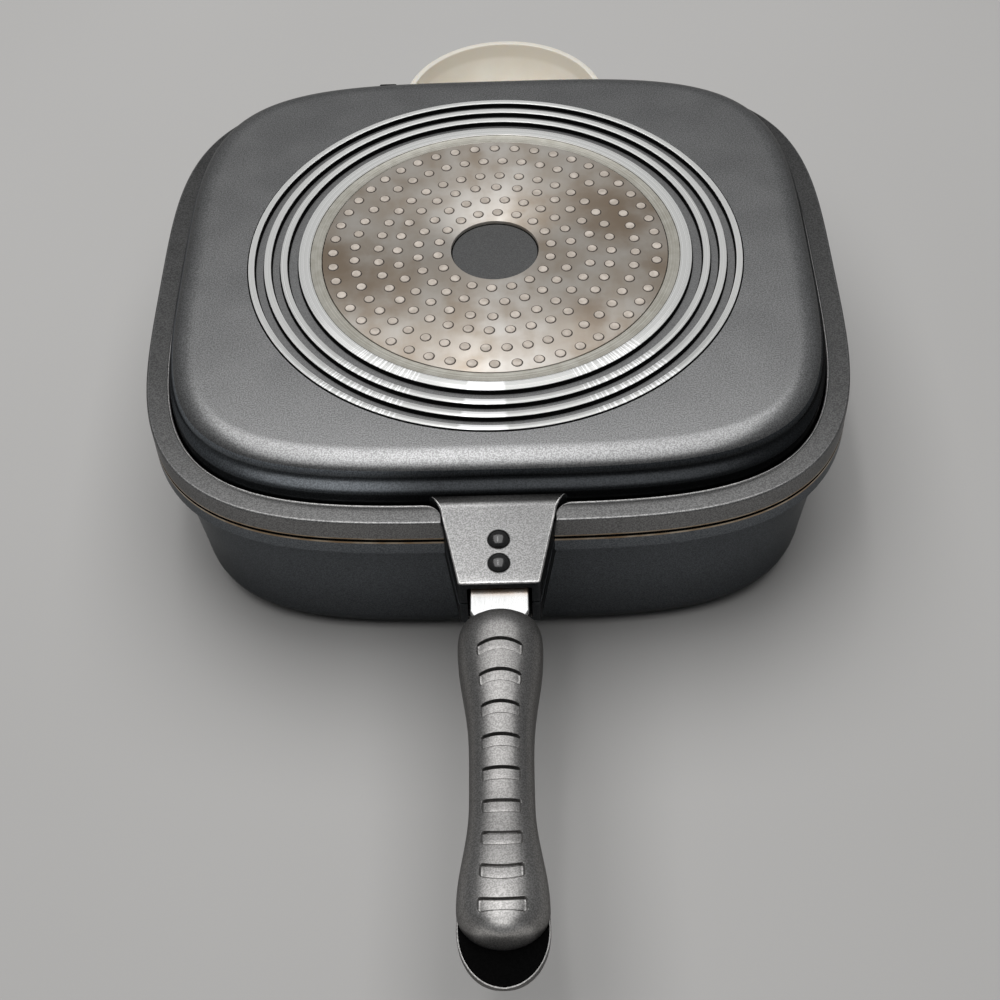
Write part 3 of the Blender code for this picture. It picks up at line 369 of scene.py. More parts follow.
def revolve(
    profile: Sequence[tuple[float, float]],
    steps: int,
    numbers: Sequence[int] | int = 0,
    centre: tuple[float, float] = (0, 0),
) -> Shape:
    """Turns a profile of (radius, z) points round an upright axis.

    Args:
        profile: The points from one end to the other. A radius of 0 closes that end.
        steps: Number of faces round.
        numbers: Finish number of each span, or one for all.
        centre: Where the axis stands.

    Returns:
        The turned shape.
    """
    shape = Shape()
    turns = np.linspace(0, math.tau, steps, endpoint=False)
    wheel = np.stack([np.cos(turns), np.sin(turns)], 1)
    inner = [spot for spot in profile if spot[0] > 0]
    lead = 1 if profile[0][0] == 0 else 0
    rings = [np.column_stack([wheel * r + np.array(centre), np.full(steps, z)]) for r, z in inner]
    bands = numbers if isinstance(numbers, int) else list(numbers)[lead : lead + len(inner) - 1]
    rows = shape.loft(rings, bands)
    if profile[0][0] == 0:
        first = numbers if isinstance(numbers, int) else numbers[0]
        shape.fan(rows[0], (*centre, profile[0][1]), first)
    if profile[-1][0] == 0:
        last = numbers if isinstance(numbers, int) else numbers[-1]
        shape.fan(rows[-1], (*centre, profile[-1][1]), last)
    if profile[0][0] != 0 and profile[-1][0] != 0:
        shape.band(rows[-1], rows[0], numbers if isinstance(numbers, int) else numbers[-1])
    return shape


@dataclass
class Outline:
    """The rim's squarish oval, as points that keep their bearings on every inset loop."""

    half_width: float = 0.1393
    half_depth: float = 0.1315
    squareness: float = 3.7
    plain_steps: int = 90
    dense_from: float = 0.885
    dense_steps: int = 62
    coarse_steps: int = 80
    halvings: int = 50
    spots: np.ndarray = field(init=False)
    ways: np.ndarray = field(init=False)

    def __post_init__(self) -> None:
        """Works out the points of the rim and the outward way at each."""
        plain = np.linspace(0, 1, self.plain_steps, endpoint=False)
        coarse = np.linspace(0, self.dense_from, self.coarse_steps, endpoint=False)
        dense = np.linspace(self.dense_from, 1, self.dense_steps)
        front = np.concatenate([coarse, dense])
        first = self.quarter(plain)
        second = self.quarter(np.append(plain, 1))[::-1] * (-1, 1)
        third = self.quarter(front) * (-1, -1)
        fourth = self.quarter(front)[::-1] * (1, -1)
        self.spots = np.concatenate([first, second[:-1], third, fourth[1:-1]])
        power = self.squareness - 1
        x, y = self.spots.T
        way = np.stack(
            [
                np.sign(x) * (np.abs(x) / self.half_width) ** power / self.half_width,
                np.sign(y) * (np.abs(y) / self.half_depth) ** power / self.half_depth,
            ],
            1,
        )
        self.ways = way / np.linalg.norm(way, axis=1)[:, None]

    def quarter(self, shares: np.ndarray) -> np.ndarray:
        """Points of the first quarter at shares of the way from the X axis to the Y axis.

        Args:
            shares: Share of the way for each point.

        Returns:
            One row of x and y for each point.
        """
        low, high = np.zeros_like(shares), np.full_like(shares, math.pi / 2)
        power = 2 / self.squareness
        for _ in range(self.halvings):
            turn = (low + high) / 2
            x = self.half_width * np.cos(turn) ** power
            y = self.half_depth * np.sin(turn) ** power
            ahead = (turn + np.arctan2(y, x)) / 2 > shares * math.pi / 2
            high, low = np.where(ahead, turn, high), np.where(ahead, low, turn)
        x = self.half_width * np.maximum(np.cos(turn), 0) ** power
        y = self.half_depth * np.maximum(np.sin(turn), 0) ** power
        x[shares >= 1], y[shares >= 1] = 0, self.half_depth
        x[shares <= 0], y[shares <= 0] = self.half_width, 0
        return np.stack([x, y], 1)

    def loop(self, inset: Level, z: Level) -> np.ndarray:
        """Loop at an inset from the rim.

        Args:
            inset: Distance inside the rim, one for all points or one for each.
            z: Height, one for all points or one for each.

        Returns:
            The loop's points.
        """
        inset = np.broadcast_to(np.asarray(inset, float), len(self.spots))
        plan = self.spots - self.ways * inset[:, None]
        return np.column_stack([plan, np.broadcast_to(z, len(plan))])

    def circle(self, radius: float, z: float) -> np.ndarray:
        """Circle whose points lie at the rim points' bearings."""
        way = self.spots / np.linalg.norm(self.spots, axis=1)[:, None]
        return np.column_stack([way * radius, np.full(len(way), z)])


class Graph:
    """Node tree of one material, built up through short calls."""

    def __init__(self, name: str) -> None:
        """Starts a material with one shader, fed by object places.

        Args:
            name: Name of the material.
        """
        self.material = bpy.data.materials.new(name)
        self.material.use_nodes = True
        self.tree = self.material.node_tree
        self.tree.nodes.clear()
        output = self.tree.nodes.new("ShaderNodeOutputMaterial")
        self.shader = self.tree.nodes.new("ShaderNodeBsdfPrincipled")
        self.tree.links.new(self.shader.outputs[0], output.inputs[0])
        self.place = self.tree.nodes.new("ShaderNodeTexCoord").outputs["Object"]

    def feed(self, socket: NodeSocket, value: object) -> None:
        """Links a socket to another one, or sets its own value.

        Args:
            socket: The socket that is fed.
            value: Another socket, a number, or a row of numbers.
        """
        if isinstance(value, NodeSocket):
            self.tree.links.new(value, socket)
        else:
            socket.default_value = value

    def add(self, kind: str, sockets: dict[int | str, object], **options: str) -> Node:
        """Adds a node, sets its options and feeds its sockets.

        Args:
            kind: Type of the node, without the word that all shader nodes start with.
            sockets: What feeds each socket, by the socket's number or name.
            options: Options of the node itself.

        Returns:
            The new node.
        """
        node = self.tree.nodes.new(f"ShaderNode{kind}")
        for name, option in options.items():
            setattr(node, name, option)
        for key, value in sockets.items():
            self.feed(node.inputs[key], value)
        return node

    def surface(self, **values: object) -> None:
        """Sets the shader's sockets; an underscore in a name stands for a space."""
        for name, value in values.items():
            self.feed(self.shader.inputs[name.replace("_", " ")], value)

    def maths(self, operation: str, first: object, second: object = 0.0) -> NodeSocket:
        """One step of arithmetic on two values."""
        return self.add("Math", {0: first, 1: second}, operation=operation).outputs[0]

    def times(self, first: object, second: object) -> NodeSocket:
        """Product of two values."""
        return self.maths("MULTIPLY", first, second)

    def vector(self, operation: str, first: object, second: object) -> Node:
        """One step of arithmetic on two vectors, as its node."""
        return self.add("VectorMath", {0: first, 1: second}, operation=operation)

    def dim(self, paint: object, share: object) -> NodeSocket:
        """Colour times a share of its light."""
        return self.vector("MULTIPLY", paint, share).outputs[0]

    def axis(self, name: str) -> NodeSocket:
        """One coordinate of the object place."""
        return self.add("SeparateXYZ", {0: self.place}).outputs[name]

    def radius(self) -> NodeSocket:
        """Distance from the pan's upright middle axis.

        Returns:
            The distance at each place.
        """
        shifted = self.vector("SUBTRACT", self.place, (0, PAN_Y, 0)).outputs[0]
        flat = self.vector("MULTIPLY", shifted, (1, 1, 0)).outputs[0]
        return self.vector("LENGTH", flat, (0, 0, 0)).outputs["Value"]

    def noise(self, scale: float, detail: float = 2.0, stretch: Sequence[float] = (1, 1, 1)) -> NodeSocket:
        """Soft noise over the object place, stretched along the axes with small numbers."""
        place = self.vector("MULTIPLY", self.place, tuple(stretch)).outputs[0]
        return self.add("TexNoise", {"Vector": place, "Scale": scale, "Detail": detail}).outputs["Fac"]

    def lines(self, value: NodeSocket, scale: float, detail: float) -> NodeSocket:
        """Noise that runs along one value only, such as tool marks along the radius."""
        sockets = {"W": value, "Scale": scale, "Detail": detail}
        return self.add("TexNoise", sockets, noise_dimensions="1D").outputs["Fac"]

    def spread(self, value: object, low: float, high: float, start: float = 0.0, end: float = 1.0) -> NodeSocket:
        """Maps a value smoothly from one span to another."""
        sockets = {"Value": value, "From Min": low, "From Max": high, "To Min": start, "To Max": end}
        return self.add("MapRange", sockets, interpolation_type="SMOOTHSTEP").outputs[0]

    def mix(self, share: object, first: object, second: object) -> NodeSocket:
        """Mixes two colours."""
        return self.add("Mix", {0: share, 6: first, 7: second}, data_type="RGBA").outputs[2]

    def relief(self, height: object, depth: float, strength: float) -> None:
        """Leads a height field to the shader's normal."""
        node = self.add("Bump", {"Strength": strength, "Distance": depth, "Height": height})
        self.feed(self.shader.inputs["Normal"], node.outputs[0])

    def wander(self, scale: float, low: float, high: float) -> None:
        """Lets the roughness wander softly between two values."""
        self.surface(Roughness=self.spread(self.noise(scale), 0.2, 0.8, low, high))

    def turn(self) -> NodeSocket:
        """Share of a full turn round the pan's middle, from the turned map."""
        spot = self.add("UVMap", {}, uv_map=TURNED_MAP).outputs[0]
        return self.add("SeparateXYZ", {0: spot}).outputs["Y"]

    def grain(self) -> None:
        """Lays the stretched gloss of turned metal along the map's radius."""
        node = self.add("Tangent", {}, direction_type="UV_MAP", uv_map=TURNED_MAP)
        self.feed(self.shader.inputs["Tangent"], node.outputs[0])


def colour(*values: float) -> tuple[float, float, float, float]:
    """Opaque colour from one grey or three shares of light."""
    return (*(values * 3 if len(values) == 1 else values), 1.0)


def shaded(tone: tuple[float, float, float] | float, share: float = 1.0) -> tuple[float, float, float, float]:
    """Opaque colour at a share of a grey or of three shares of light."""
    return colour(*(value * share for value in (tone if isinstance(tone, tuple) else (tone,))))


@dataclass(frozen=True)
class GraphitePaint:
    """Fine metallic paint on the castings, shaded by place as the photograph shows it."""

    title: str
    tone: float = 0.25
    blue: float = 1.0
    edge_tone: float = 0.45
    painted_light: tuple[PaintedLightRow, ...] = ()
    flake_scale: float = 1900.0
    flake_shares: tuple[float, float] = (0.7, 1.28)

    def make(self) -> Material:
        """Builds the paint.

        Returns:
            The material.
        """
        graph = Graph(self.title)
        flakes = graph.noise(self.flake_scale, 3)
        hue = (self.tone / self.blue, self.tone, self.tone * self.blue)
        dark, light = (shaded(hue, share) for share in self.flake_shares)
        paint = graph.mix(graph.spread(flakes, 0.36, 0.64), dark, light)
        # Painted shade and light: each row darkens or lightens the paint by place
        for axis, dim, full, least in self.painted_light:
            paint = graph.dim(paint, graph.spread(graph.axis(axis), dim, full, least, 1.0))
        graph.surface(Base_Color=paint, Metallic=0.8, Specular_Tint=colour(self.edge_tone))
        graph.wander(60, 0.3, 0.36)
        graph.relief(flakes, 0.00003, 0.35)
        return graph.material


# Darker, bluer copy of the paint on the lower pan and its bracket, a painted shade
LOWER_SHADED_PAINT = GraphitePaint("lower_shaded_paint", 0.145, 1.08, 0.4, FOOT_PAINTED_SHADE)
TOP_PAINT = GraphitePaint("top_paint", painted_light=SHOULDER_PAINTED_SHADE)
# Darker copies of the paint on the rim's outer band and on the rib's top, painted shade
RIM_SHADED_PAINT = GraphitePaint("rim_shaded_paint", 0.195, 0.99, 0.4)
RIB_SHADED_PAINT = GraphitePaint("rib_shaded_paint", 0.115, 0.99, 0.4)
# Darker, bluer copy of the paint for the shoulder's foot, the wall and the moat, with its painted shade and light
MOAT_SHADED_PAINT = GraphitePaint("moat_shaded_paint", 0.22, 1.08, 0.25, MOAT_PAINTED_LIGHT)
# Lighter copy of the paint on the upper bracket, a painted light, with the painted shade of its rows
ROOT_LIT_PAINT = GraphitePaint("root_lit_paint", 0.305, 0.99, painted_light=ROOT_PAINTED_SHADE)
# Near-black copy of the paint on the bracket's upright faces, a painted shade
FLANK_SHADE_PAINT = GraphitePaint("flank_shade_paint", 0.035, 1.06, 0.2)
# Light copy of the paint on rounded edges, a painted highlight
EDGE_HIGHLIGHT_PAINT = GraphitePaint("edge_highlight_paint", 0.5, 0.98, 0.6)


@dataclass(frozen=True)
class TwoTone:
    """Plain finish whose colour wanders between two tones."""

    title: str
    noise: tuple[float, float]
    dark: tuple[float, ...]
    light: tuple[float, ...]
    gloss: dict[str, float]
    span: tuple[float, float] = (0.3, 0.7)
    relief: float = 0.0
    relief_strength: float = 0.3

    def make(self) -> Material:
        """Builds the finish.

        Returns:
            The material.
        """
        graph = Graph(self.title)
        grain = graph.noise(*self.noise)
        share = graph.spread(grain, *self.span)
        graph.surface(Base_Color=graph.mix(share, colour(*self.dark), colour(*self.light)), **self.gloss)
        if self.relief:
            graph.relief(grain, self.relief, self.relief_strength)
        return graph.material


# Pale aluminium that stands through the plate's holes
PRESSED_DOT = TwoTone("pressed_dot", (300, 3), (0.5, 0.44, 0.38), (0.68, 0.61, 0.54),
                      {"Metallic": 0.35, "Roughness": 0.5}, (0.35, 0.7))
# Dark seam round each pressed dot, which the dot's shift bares as a painted shadow on one side
DARK_SEAM = TwoTone("dark_seam", (900, 2), (0.03, 0.024, 0.02), (0.09, 0.07, 0.055),
                    {"Metallic": 0.3, "Roughness": 0.6})
# Glossy black of the rivets and screws
BLACK_ENAMEL = TwoTone("black_enamel", (800, 2), (0.007,), (0.013,),
                       {"Roughness": 0.2, "Coat_Weight": 0.45, "Coat_Roughness": 0.11})
# Plated magnet
NICKEL = TwoTone("nickel_plate", (500, 3), (0.52, 0.51, 0.48), (0.64, 0.63, 0.6),
                 {"Metallic": 1.0, "Roughness": 0.2})
# Matt silicone of the rim seal
SEAL_RUBBER = TwoTone("seal_rubber", (1500, 2), (0.035,), (0.06,), {"Roughness": 0.62}, relief=0.00003)
# Bare machined aluminium of narrow edges
BARE_EDGE = TwoTone("bare_edge", (1400, 2), (0.702,), (0.78,), {"Metallic": 1.0, "Roughness": 0.3})
# Machined lower rim, stained golden brown by use
SCORCHED_EDGE = TwoTone("scorched_edge", (120, 4), (0.3, 0.2, 0.11), (0.5, 0.42, 0.32),
                        {"Metallic": 0.9, "Roughness": 0.34}, (0.35, 0.7))
# Matt black painted shade on the walls of the grooves, round the recess and in the parting chamfers
PAINTED_SHADE_BLACK = TwoTone("painted_shade_black", (1500, 2), (0.003,), (0.008,),
                      {"Roughness": 0.8, "Specular_IOR_Level": 0.05})


@dataclass(frozen=True)
class MachinedAluminium:
    """Bare turned aluminium on the rings and the band of each base."""

    tone: float = 0.82
    # Grey that dims the front of the rings, a painted shade
    front_shade_tone: tuple[float, float, float] = (0.42, 0.42, 0.41)
    step_tones: tuple[Triple, Triple] = ((0.46, 0.44, 0.38), (0.56, 0.54, 0.48))
    roughness: tuple[float, float] = (0.2, 0.28)
    step: tuple[float, float] = (0.0750, 0.0752)
    front: tuple[float, float] = (PAN_Y - 0.03, PAN_Y - 0.07)
    front_shade_share: float = 0.44
    # Span across the front where a white glint is painted
    glint_span: tuple[float, float] = (-0.15, 0.03)
    glint_fade: float = 0.02
    sector: tuple[float, float] = (0.40, 0.68)
    sector_fade: float = 0.04
    ticks: float = 520.0

    def make(self) -> Material:
        """Builds the metal with its tool marks round the middle, its duller inner step, painted shade over the
        front and painted glints on the front.

        Returns:
            The material.
        """
        graph = Graph("machined_aluminium")
        radius, tone = graph.radius(), self.tone
        marks = graph.lines(radius, 2400, 2)
        share = graph.spread(marks, 0.25, 0.75)
        mark = colour(tone * 0.86, tone * 0.86, tone * 0.84)
        bright = graph.mix(share, mark, colour(tone, tone, tone * 0.98))
        # Painted shade over the front of the rings
        front = graph.spread(graph.axis("Y"), *self.front)
        bright = graph.mix(graph.times(front, self.front_shade_share), bright, colour(*self.front_shade_tone))
        # Painted glint: white near the middle of the front
        bright = graph.mix(graph.times(front, self.painted_glint(graph, radius)), bright, colour(1.0))
        # Painted glints of tool chatter in two sectors of the front
        bright = graph.mix(self.chatter_glints(graph, radius), bright, colour(1.0))
        dark, light = self.step_tones
        dull = graph.mix(graph.spread(graph.noise(240, 4), 0.3, 0.7), colour(*dark), colour(*light))
        graph.surface(Base_Color=graph.mix(graph.spread(radius, *self.step), dull, bright), Metallic=0.3)
        graph.surface(Roughness=graph.spread(marks, 0.3, 0.7, *self.roughness), Anisotropic=0.85)
        graph.grain()
        graph.relief(marks, 0.00001, 0.15)
        return graph.material

    def painted_glint(self, graph: Graph, radius: NodeSocket) -> NodeSocket:
        """Share of the white glint that is painted on the rings near the middle of the front.

        Args:
            graph: The metal's graph.
            radius: Distance from the pan's middle.

        Returns:
            The share.
        """
        along = graph.maths("DIVIDE", graph.axis("X"), radius)
        (start, end), fade = self.glint_span, self.glint_fade
        return graph.times(graph.spread(along, start, start + fade), graph.spread(along, end + fade, end))

    def chatter_glints(self, graph: Graph, radius: NodeSocket) -> NodeSocket:
        """Share of the short white glints of tool chatter that are painted across the rings in two sectors of the
        front.

        Args:
            graph: The metal's graph.
            radius: Distance from the pan's middle.

        Returns:
            The share.
        """
        across = graph.maths("ABSOLUTE", graph.maths("DIVIDE", graph.axis("X"), radius))
        (start, end), fade = self.sector, self.sector_fade
        near = graph.times(graph.spread(across, start - fade, start), graph.spread(across, end + fade, end))
        front = graph.spread(graph.axis("Y"), PAN_Y, PAN_Y - 0.01)
        ticks = graph.spread(graph.lines(graph.turn(), self.ticks, 1), 0.5, 0.56)
        return graph.times(graph.times(near, front), ticks)


@dataclass(frozen=True)
class PlateSteel:
    """Turned stainless plate of the base, tinted by heat, with a painted highlight streak down its middle."""

    tone: float = 0.49
    # Tint of the painted highlight streak down the middle
    clean: Triple = (1.0, 0.935, 0.85)
    pale: Triple = (1.4, 1.34, 1.26)
    brown: Triple = (0.7, 0.57, 0.44)
    deep: Triple = (0.5, 0.38, 0.27)
    cloud_share: float = 0.46
    stain_share: float = 0.85
    highlight_streak_share: float = 0.5

    def make(self) -> Material:
        """Builds the steel with soft brown stains.

        Returns:
            The material.
        """
        graph = Graph("stained_steel")
        marks = graph.lines(graph.radius(), 1800, 3)
        stains = graph.spread(graph.noise(30, 5), 0.42, 0.66)
        clouds = graph.spread(graph.noise(85, 6), 0.34, 0.66)
        streaks = graph.spread(graph.noise(75, 4, (1, 0.25, 1)), 0.35, 0.68)
        side = graph.times(graph.axis("X"), graph.axis("X"))
        outer = graph.spread(side, 0.00008, 0.0016)
        # Painted highlight: a paler streak along the middle, kept clear of stains
        painted_streak = graph.times(graph.spread(side, 0.0006, 0.0), self.highlight_streak_share)
        hues = (self.clean, self.pale, self.brown, self.deep)
        clean, pale, brown, deep = (shaded(hue, self.tone) for hue in hues)
        cloud = graph.times(graph.maths("ADD", clouds, streaks), self.cloud_share)
        stain = graph.times(graph.times(stains, self.stain_share), outer)
        steel = graph.mix(stain, graph.mix(cloud, graph.mix(painted_streak, clean, pale), brown), deep)
        graph.surface(Base_Color=steel, Metallic=0.42, Anisotropic=0.8)
        graph.surface(Roughness=graph.spread(marks, 0.2, 0.8, 0.31, 0.35))
        graph.grain()
        graph.relief(marks, 0.00001, 0.15)
        return graph.material


@dataclass(frozen=True)
class BrightSteel:
    """Bright steel, on the strap tinted brown where it leaves the bracket."""

    title: str
    tone: float
    tinted: bool = False
    tint: Triple = (0.36, 0.24, 0.15)
    tint_span: tuple[float, float] = (PAN_Y - 0.1650, PAN_Y - 0.1605)

    def make(self) -> Material:
        """Builds the steel with its fine lengthwise marks.

        Returns:
            The material.
        """
        graph = Graph(self.title)
        marks = graph.noise(3200, 2, (1, 0.05, 1))
        dark = colour(self.tone * 0.9, self.tone * 0.9, self.tone * 0.89)
        steel = graph.mix(graph.spread(marks, 0.3, 0.7), dark, colour(self.tone))
        if self.tinted:
            near = graph.spread(graph.axis("Y"), *self.tint_span)
            patches = graph.times(near, graph.spread(graph.noise(140, 3), 0.3, 0.6, 0.5, 1.0))
            steel = graph.mix(patches, steel, colour(*self.tint))
        graph.surface(Base_Color=steel, Metallic=1.0, Roughness=0.26)
        graph.relief(marks, 0.00001, 0.3)
        return graph.material


STRAP_STEEL = BrightSteel("bright_strap", 0.57, True)
PLAIN_STEEL = BrightSteel("bright_steel", 0.7)


@dataclass(frozen=True)
class GripCoating:
    """Warm grey soft metallic coating of the grips, with painted light that grows toward the nose, a painted
    highlight on the upper grip's nose tip and painted shade along the parting.
    """

    dark: Triple = (0.76, 0.74, 0.72)
    light: Triple = (1.24, 1.21, 1.18)
    tone: float = 0.235
    nose: float = PAN_Y - 0.2880
    nose_run: float = 0.0600
    nose_light_share: float = 1.2
    parting_shade_share: float = 0.82
    nose_highlight: float = 0.9

    def make(self) -> Material:
        """Builds the coating with its fine sparkle.

        Returns:
            The material.
        """
        graph = Graph("grip_coating")
        grain = graph.noise(1900, 3)
        # Painted shade along the parting, painted light toward the nose and a painted highlight on the upper nose
        # tip
        side = graph.maths("ABSOLUTE", graph.maths("SUBTRACT", graph.axis("Z"), MIDDLE))
        parting = graph.spread(side, 0.0, 0.004, self.parting_shade_share, 1.0)
        far = graph.spread(graph.axis("Y"), self.nose, self.nose + self.nose_run, self.nose_light_share, 1.0)
        nose_highlight = graph.spread(graph.axis("Y"), self.nose - 0.0025, self.nose, self.nose_highlight, 0.0)
        nose_highlight = graph.times(nose_highlight, graph.spread(graph.axis("Z"), MIDDLE, MIDDLE + 0.002))
        kept = graph.times(graph.times(parting, far), graph.maths("ADD", nose_highlight, 1.0))
        dark, light = shaded(self.dark, self.tone), shaded(self.light, self.tone)
        coat = graph.dim(graph.mix(graph.spread(grain, 0.36, 0.64), dark, light), kept)
        graph.surface(Base_Color=coat, Metallic=0.85, Specular_Tint=colour(0.25))
        graph.wander(90, 0.36, 0.42)
        graph.relief(grain, 0.00004, 0.35)
        return graph.material


@dataclass(frozen=True)
class FacePlastic:
    """Black satin plastic of the grip faces and the tray's latch."""

    tones: tuple[float, float] = (0.0024, 0.0039)

    def make(self) -> Material:
        """Builds the plastic.

        Returns:
            The material.
        """
        graph = Graph("face_plastic")
        grain = graph.noise(2200, 2)
        dark, light = (colour(tone) for tone in self.tones)
        share = graph.spread(grain, 0.3, 0.7)
        graph.surface(Base_Color=graph.mix(share, dark, light), Specular_IOR_Level=0.0)
        graph.wander(120, 0.5, 0.58)
        graph.relief(grain, 0.00002, 0.3)
        return graph.material


@dataclass(frozen=True)
class TrayPlastic:
    """Cream plastic of the drip tray, a little translucent."""

    dark: Triple = (0.88, 0.83, 0.75)
    light: Triple = (0.94, 0.905, 0.835)
    # Darker tone on the top of the tray and its lip, a painted shade that tones down the lip's highlight
    lip: Triple = (0.82, 0.775, 0.69)
    lip_shade_span: tuple[float, float] = (0.0600, 0.0625)
    depth_colours: Triple = (1.0, 0.8, 0.6)

    def make(self) -> Material:
        """Builds the plastic.

        Returns:
            The material.
        """
        graph = Graph("tray_plastic")
        share = graph.spread(graph.noise(45, 3), 0.3, 0.7)
        plastic = graph.mix(share, colour(*self.dark), colour(*self.light))
        # Painted shade on the top of the tray and its lip
        lip = graph.spread(graph.axis("Z"), *self.lip_shade_span)
        graph.surface(Base_Color=graph.mix(lip, plastic, colour(*self.lip)), Roughness=0.45)
        graph.surface(Subsurface_Weight=0.35, Subsurface_Scale=0.003, Subsurface_Radius=self.depth_colours)
        graph.relief(graph.noise(700, 2), 0.00002, 0.2)
        return graph.material


@dataclass(frozen=True)
class NonStick:
    """Dark speckled non-stick coating of the cooking sides."""

    ground: Triple = (0.026, 0.026, 0.028)
    speck: Triple = (0.2, 0.2, 0.2)

    def make(self) -> Material:
        """Builds the coating.

        Returns:
            The material.
        """
        graph = Graph("non_stick_coating")
        specks = graph.spread(graph.noise(1300, 1), 0.62, 0.72)
        graph.surface(Base_Color=graph.mix(specks, colour(*self.ground), colour(*self.speck)), Roughness=0.36)
        graph.relief(graph.noise(2400, 2), 0.00003, 0.3)
        return graph.material


@dataclass(frozen=True)
class GroovePaint:
    """Grey paint in the grooves of the base, and darker on its boss."""

    tone: float = 0.17
    boss_shares: tuple[float, float] = (0.42, 0.7)
    groove_shares: tuple[float, float] = (0.75, 1.25)
    boss_span: tuple[float, float] = (0.02, 0.03)

    def make(self) -> Material:
        """Builds the paint.

        Returns:
            The material.
        """
        graph = Graph("groove_paint")
        flakes = graph.noise(2600, 3)
        share = graph.spread(flakes, 0.32, 0.7)
        groove = graph.mix(share, *(colour(self.tone * part) for part in self.groove_shares))
        boss = graph.mix(share, *(colour(self.tone * part) for part in self.boss_shares))
        graph.surface(Base_Color=graph.mix(graph.spread(graph.radius(), *self.boss_span), boss, groove))
        graph.surface(Metallic=0.5, Roughness=0.42)
        graph.relief(flakes, 0.00003, 0.3)
        return graph.material


@dataclass
class Finishes:
    """Every finish of the pan, made once."""

    paint: Material = field(default_factory=TOP_PAINT.make)
    low_shaded_paint: Material = field(default_factory=LOWER_SHADED_PAINT.make)
    rim_shaded_paint: Material = field(default_factory=RIM_SHADED_PAINT.make)
    rib_shaded_paint: Material = field(default_factory=RIB_SHADED_PAINT.make)
    moat: Material = field(default_factory=MOAT_SHADED_PAINT.make)
    root: Material = field(default_factory=ROOT_LIT_PAINT.make)
    flank_shade: Material = field(default_factory=FLANK_SHADE_PAINT.make)
    edge_highlight: Material = field(default_factory=EDGE_HIGHLIGHT_PAINT.make)
    groove: Material = field(default_factory=GroovePaint().make)
    turned: Material = field(default_factory=MachinedAluminium().make)
    bare: Material = field(default_factory=BARE_EDGE.make)
    scorched: Material = field(default_factory=SCORCHED_EDGE.make)
    plate: Material = field(default_factory=PlateSteel().make)
    dot: Material = field(default_factory=PRESSED_DOT.make)
    seam: Material = field(default_factory=DARK_SEAM.make)
    strap: Material = field(default_factory=STRAP_STEEL.make)
    steel: Material = field(default_factory=PLAIN_STEEL.make)
    enamel: Material = field(default_factory=BLACK_ENAMEL.make)
    grip: Material = field(default_factory=GripCoating().make)
    plastic: Material = field(default_factory=FacePlastic().make)
    nickel: Material = field(default_factory=NICKEL.make)
    rubber: Material = field(default_factory=SEAL_RUBBER.make)
    tray: Material = field(default_factory=TrayPlastic().make)
    shade: Material = field(default_factory=PAINTED_SHADE_BLACK.make)
    cooking: Material = field(default_factory=NonStick().make)


def dress(piece: Object, body: str, node: str) -> Object:
    """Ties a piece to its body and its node.

    Args:
        piece: The finished object.
        body: Body that it moves with.
        node: CAD node that it stands for.

    Returns:
        The same object.
    """
    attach(piece, body)
    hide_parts(node)
    LOG.info("%s: %d faces", piece.name, len(piece.data.polygons))
    return piece


@dataclass
class Casting:
    """What both castings share: the rim's outline, the recess for the base face and a flat cooking floor."""

    outline: Outline
    recess_radius: float = 0.10055
    recess_depth: float = 0.0026
    floor_circles: tuple[float, float] = (0.1, 0.05)
    mouth_edge: float = 0.0006

    def shell(self, rows: list[Row], skin: float, deep: float, inside: float) -> Shape:
        """Closes a casting's loops by the recess outside and by the floor on the cooking side.

        Args:
            rows: Inset, height and finish number of each loop.
            skin: Level of the outer skin round the recess.
            deep: Level of the recess.
            inside: Level of the floor.

        Returns:
            The closed casting.
        """
        rings = [self.outline.circle(self.recess_radius, level) for level in (deep, skin)]
        rings += [self.outline.loop(inset, z) for inset, z, _ in rows]
        rings += [self.outline.circle(radius, inside) for radius in self.floor_circles]
        # The recess wall and its hidden floor take the black of painted shade
        numbers = [Coat.PAINTED_SHADE, Coat.PAINT, *(number for _, _, number in rows[1:]), Coat.COOKING, Coat.COOKING]
        shape = Shape()
        marks = shape.loft(rings, numbers)
        shape.fan(marks[0], (0, 0, deep), Coat.PAINTED_SHADE)
        shape.fan(marks[-1], (0, 0, inside), Coat.COOKING)
        return shape


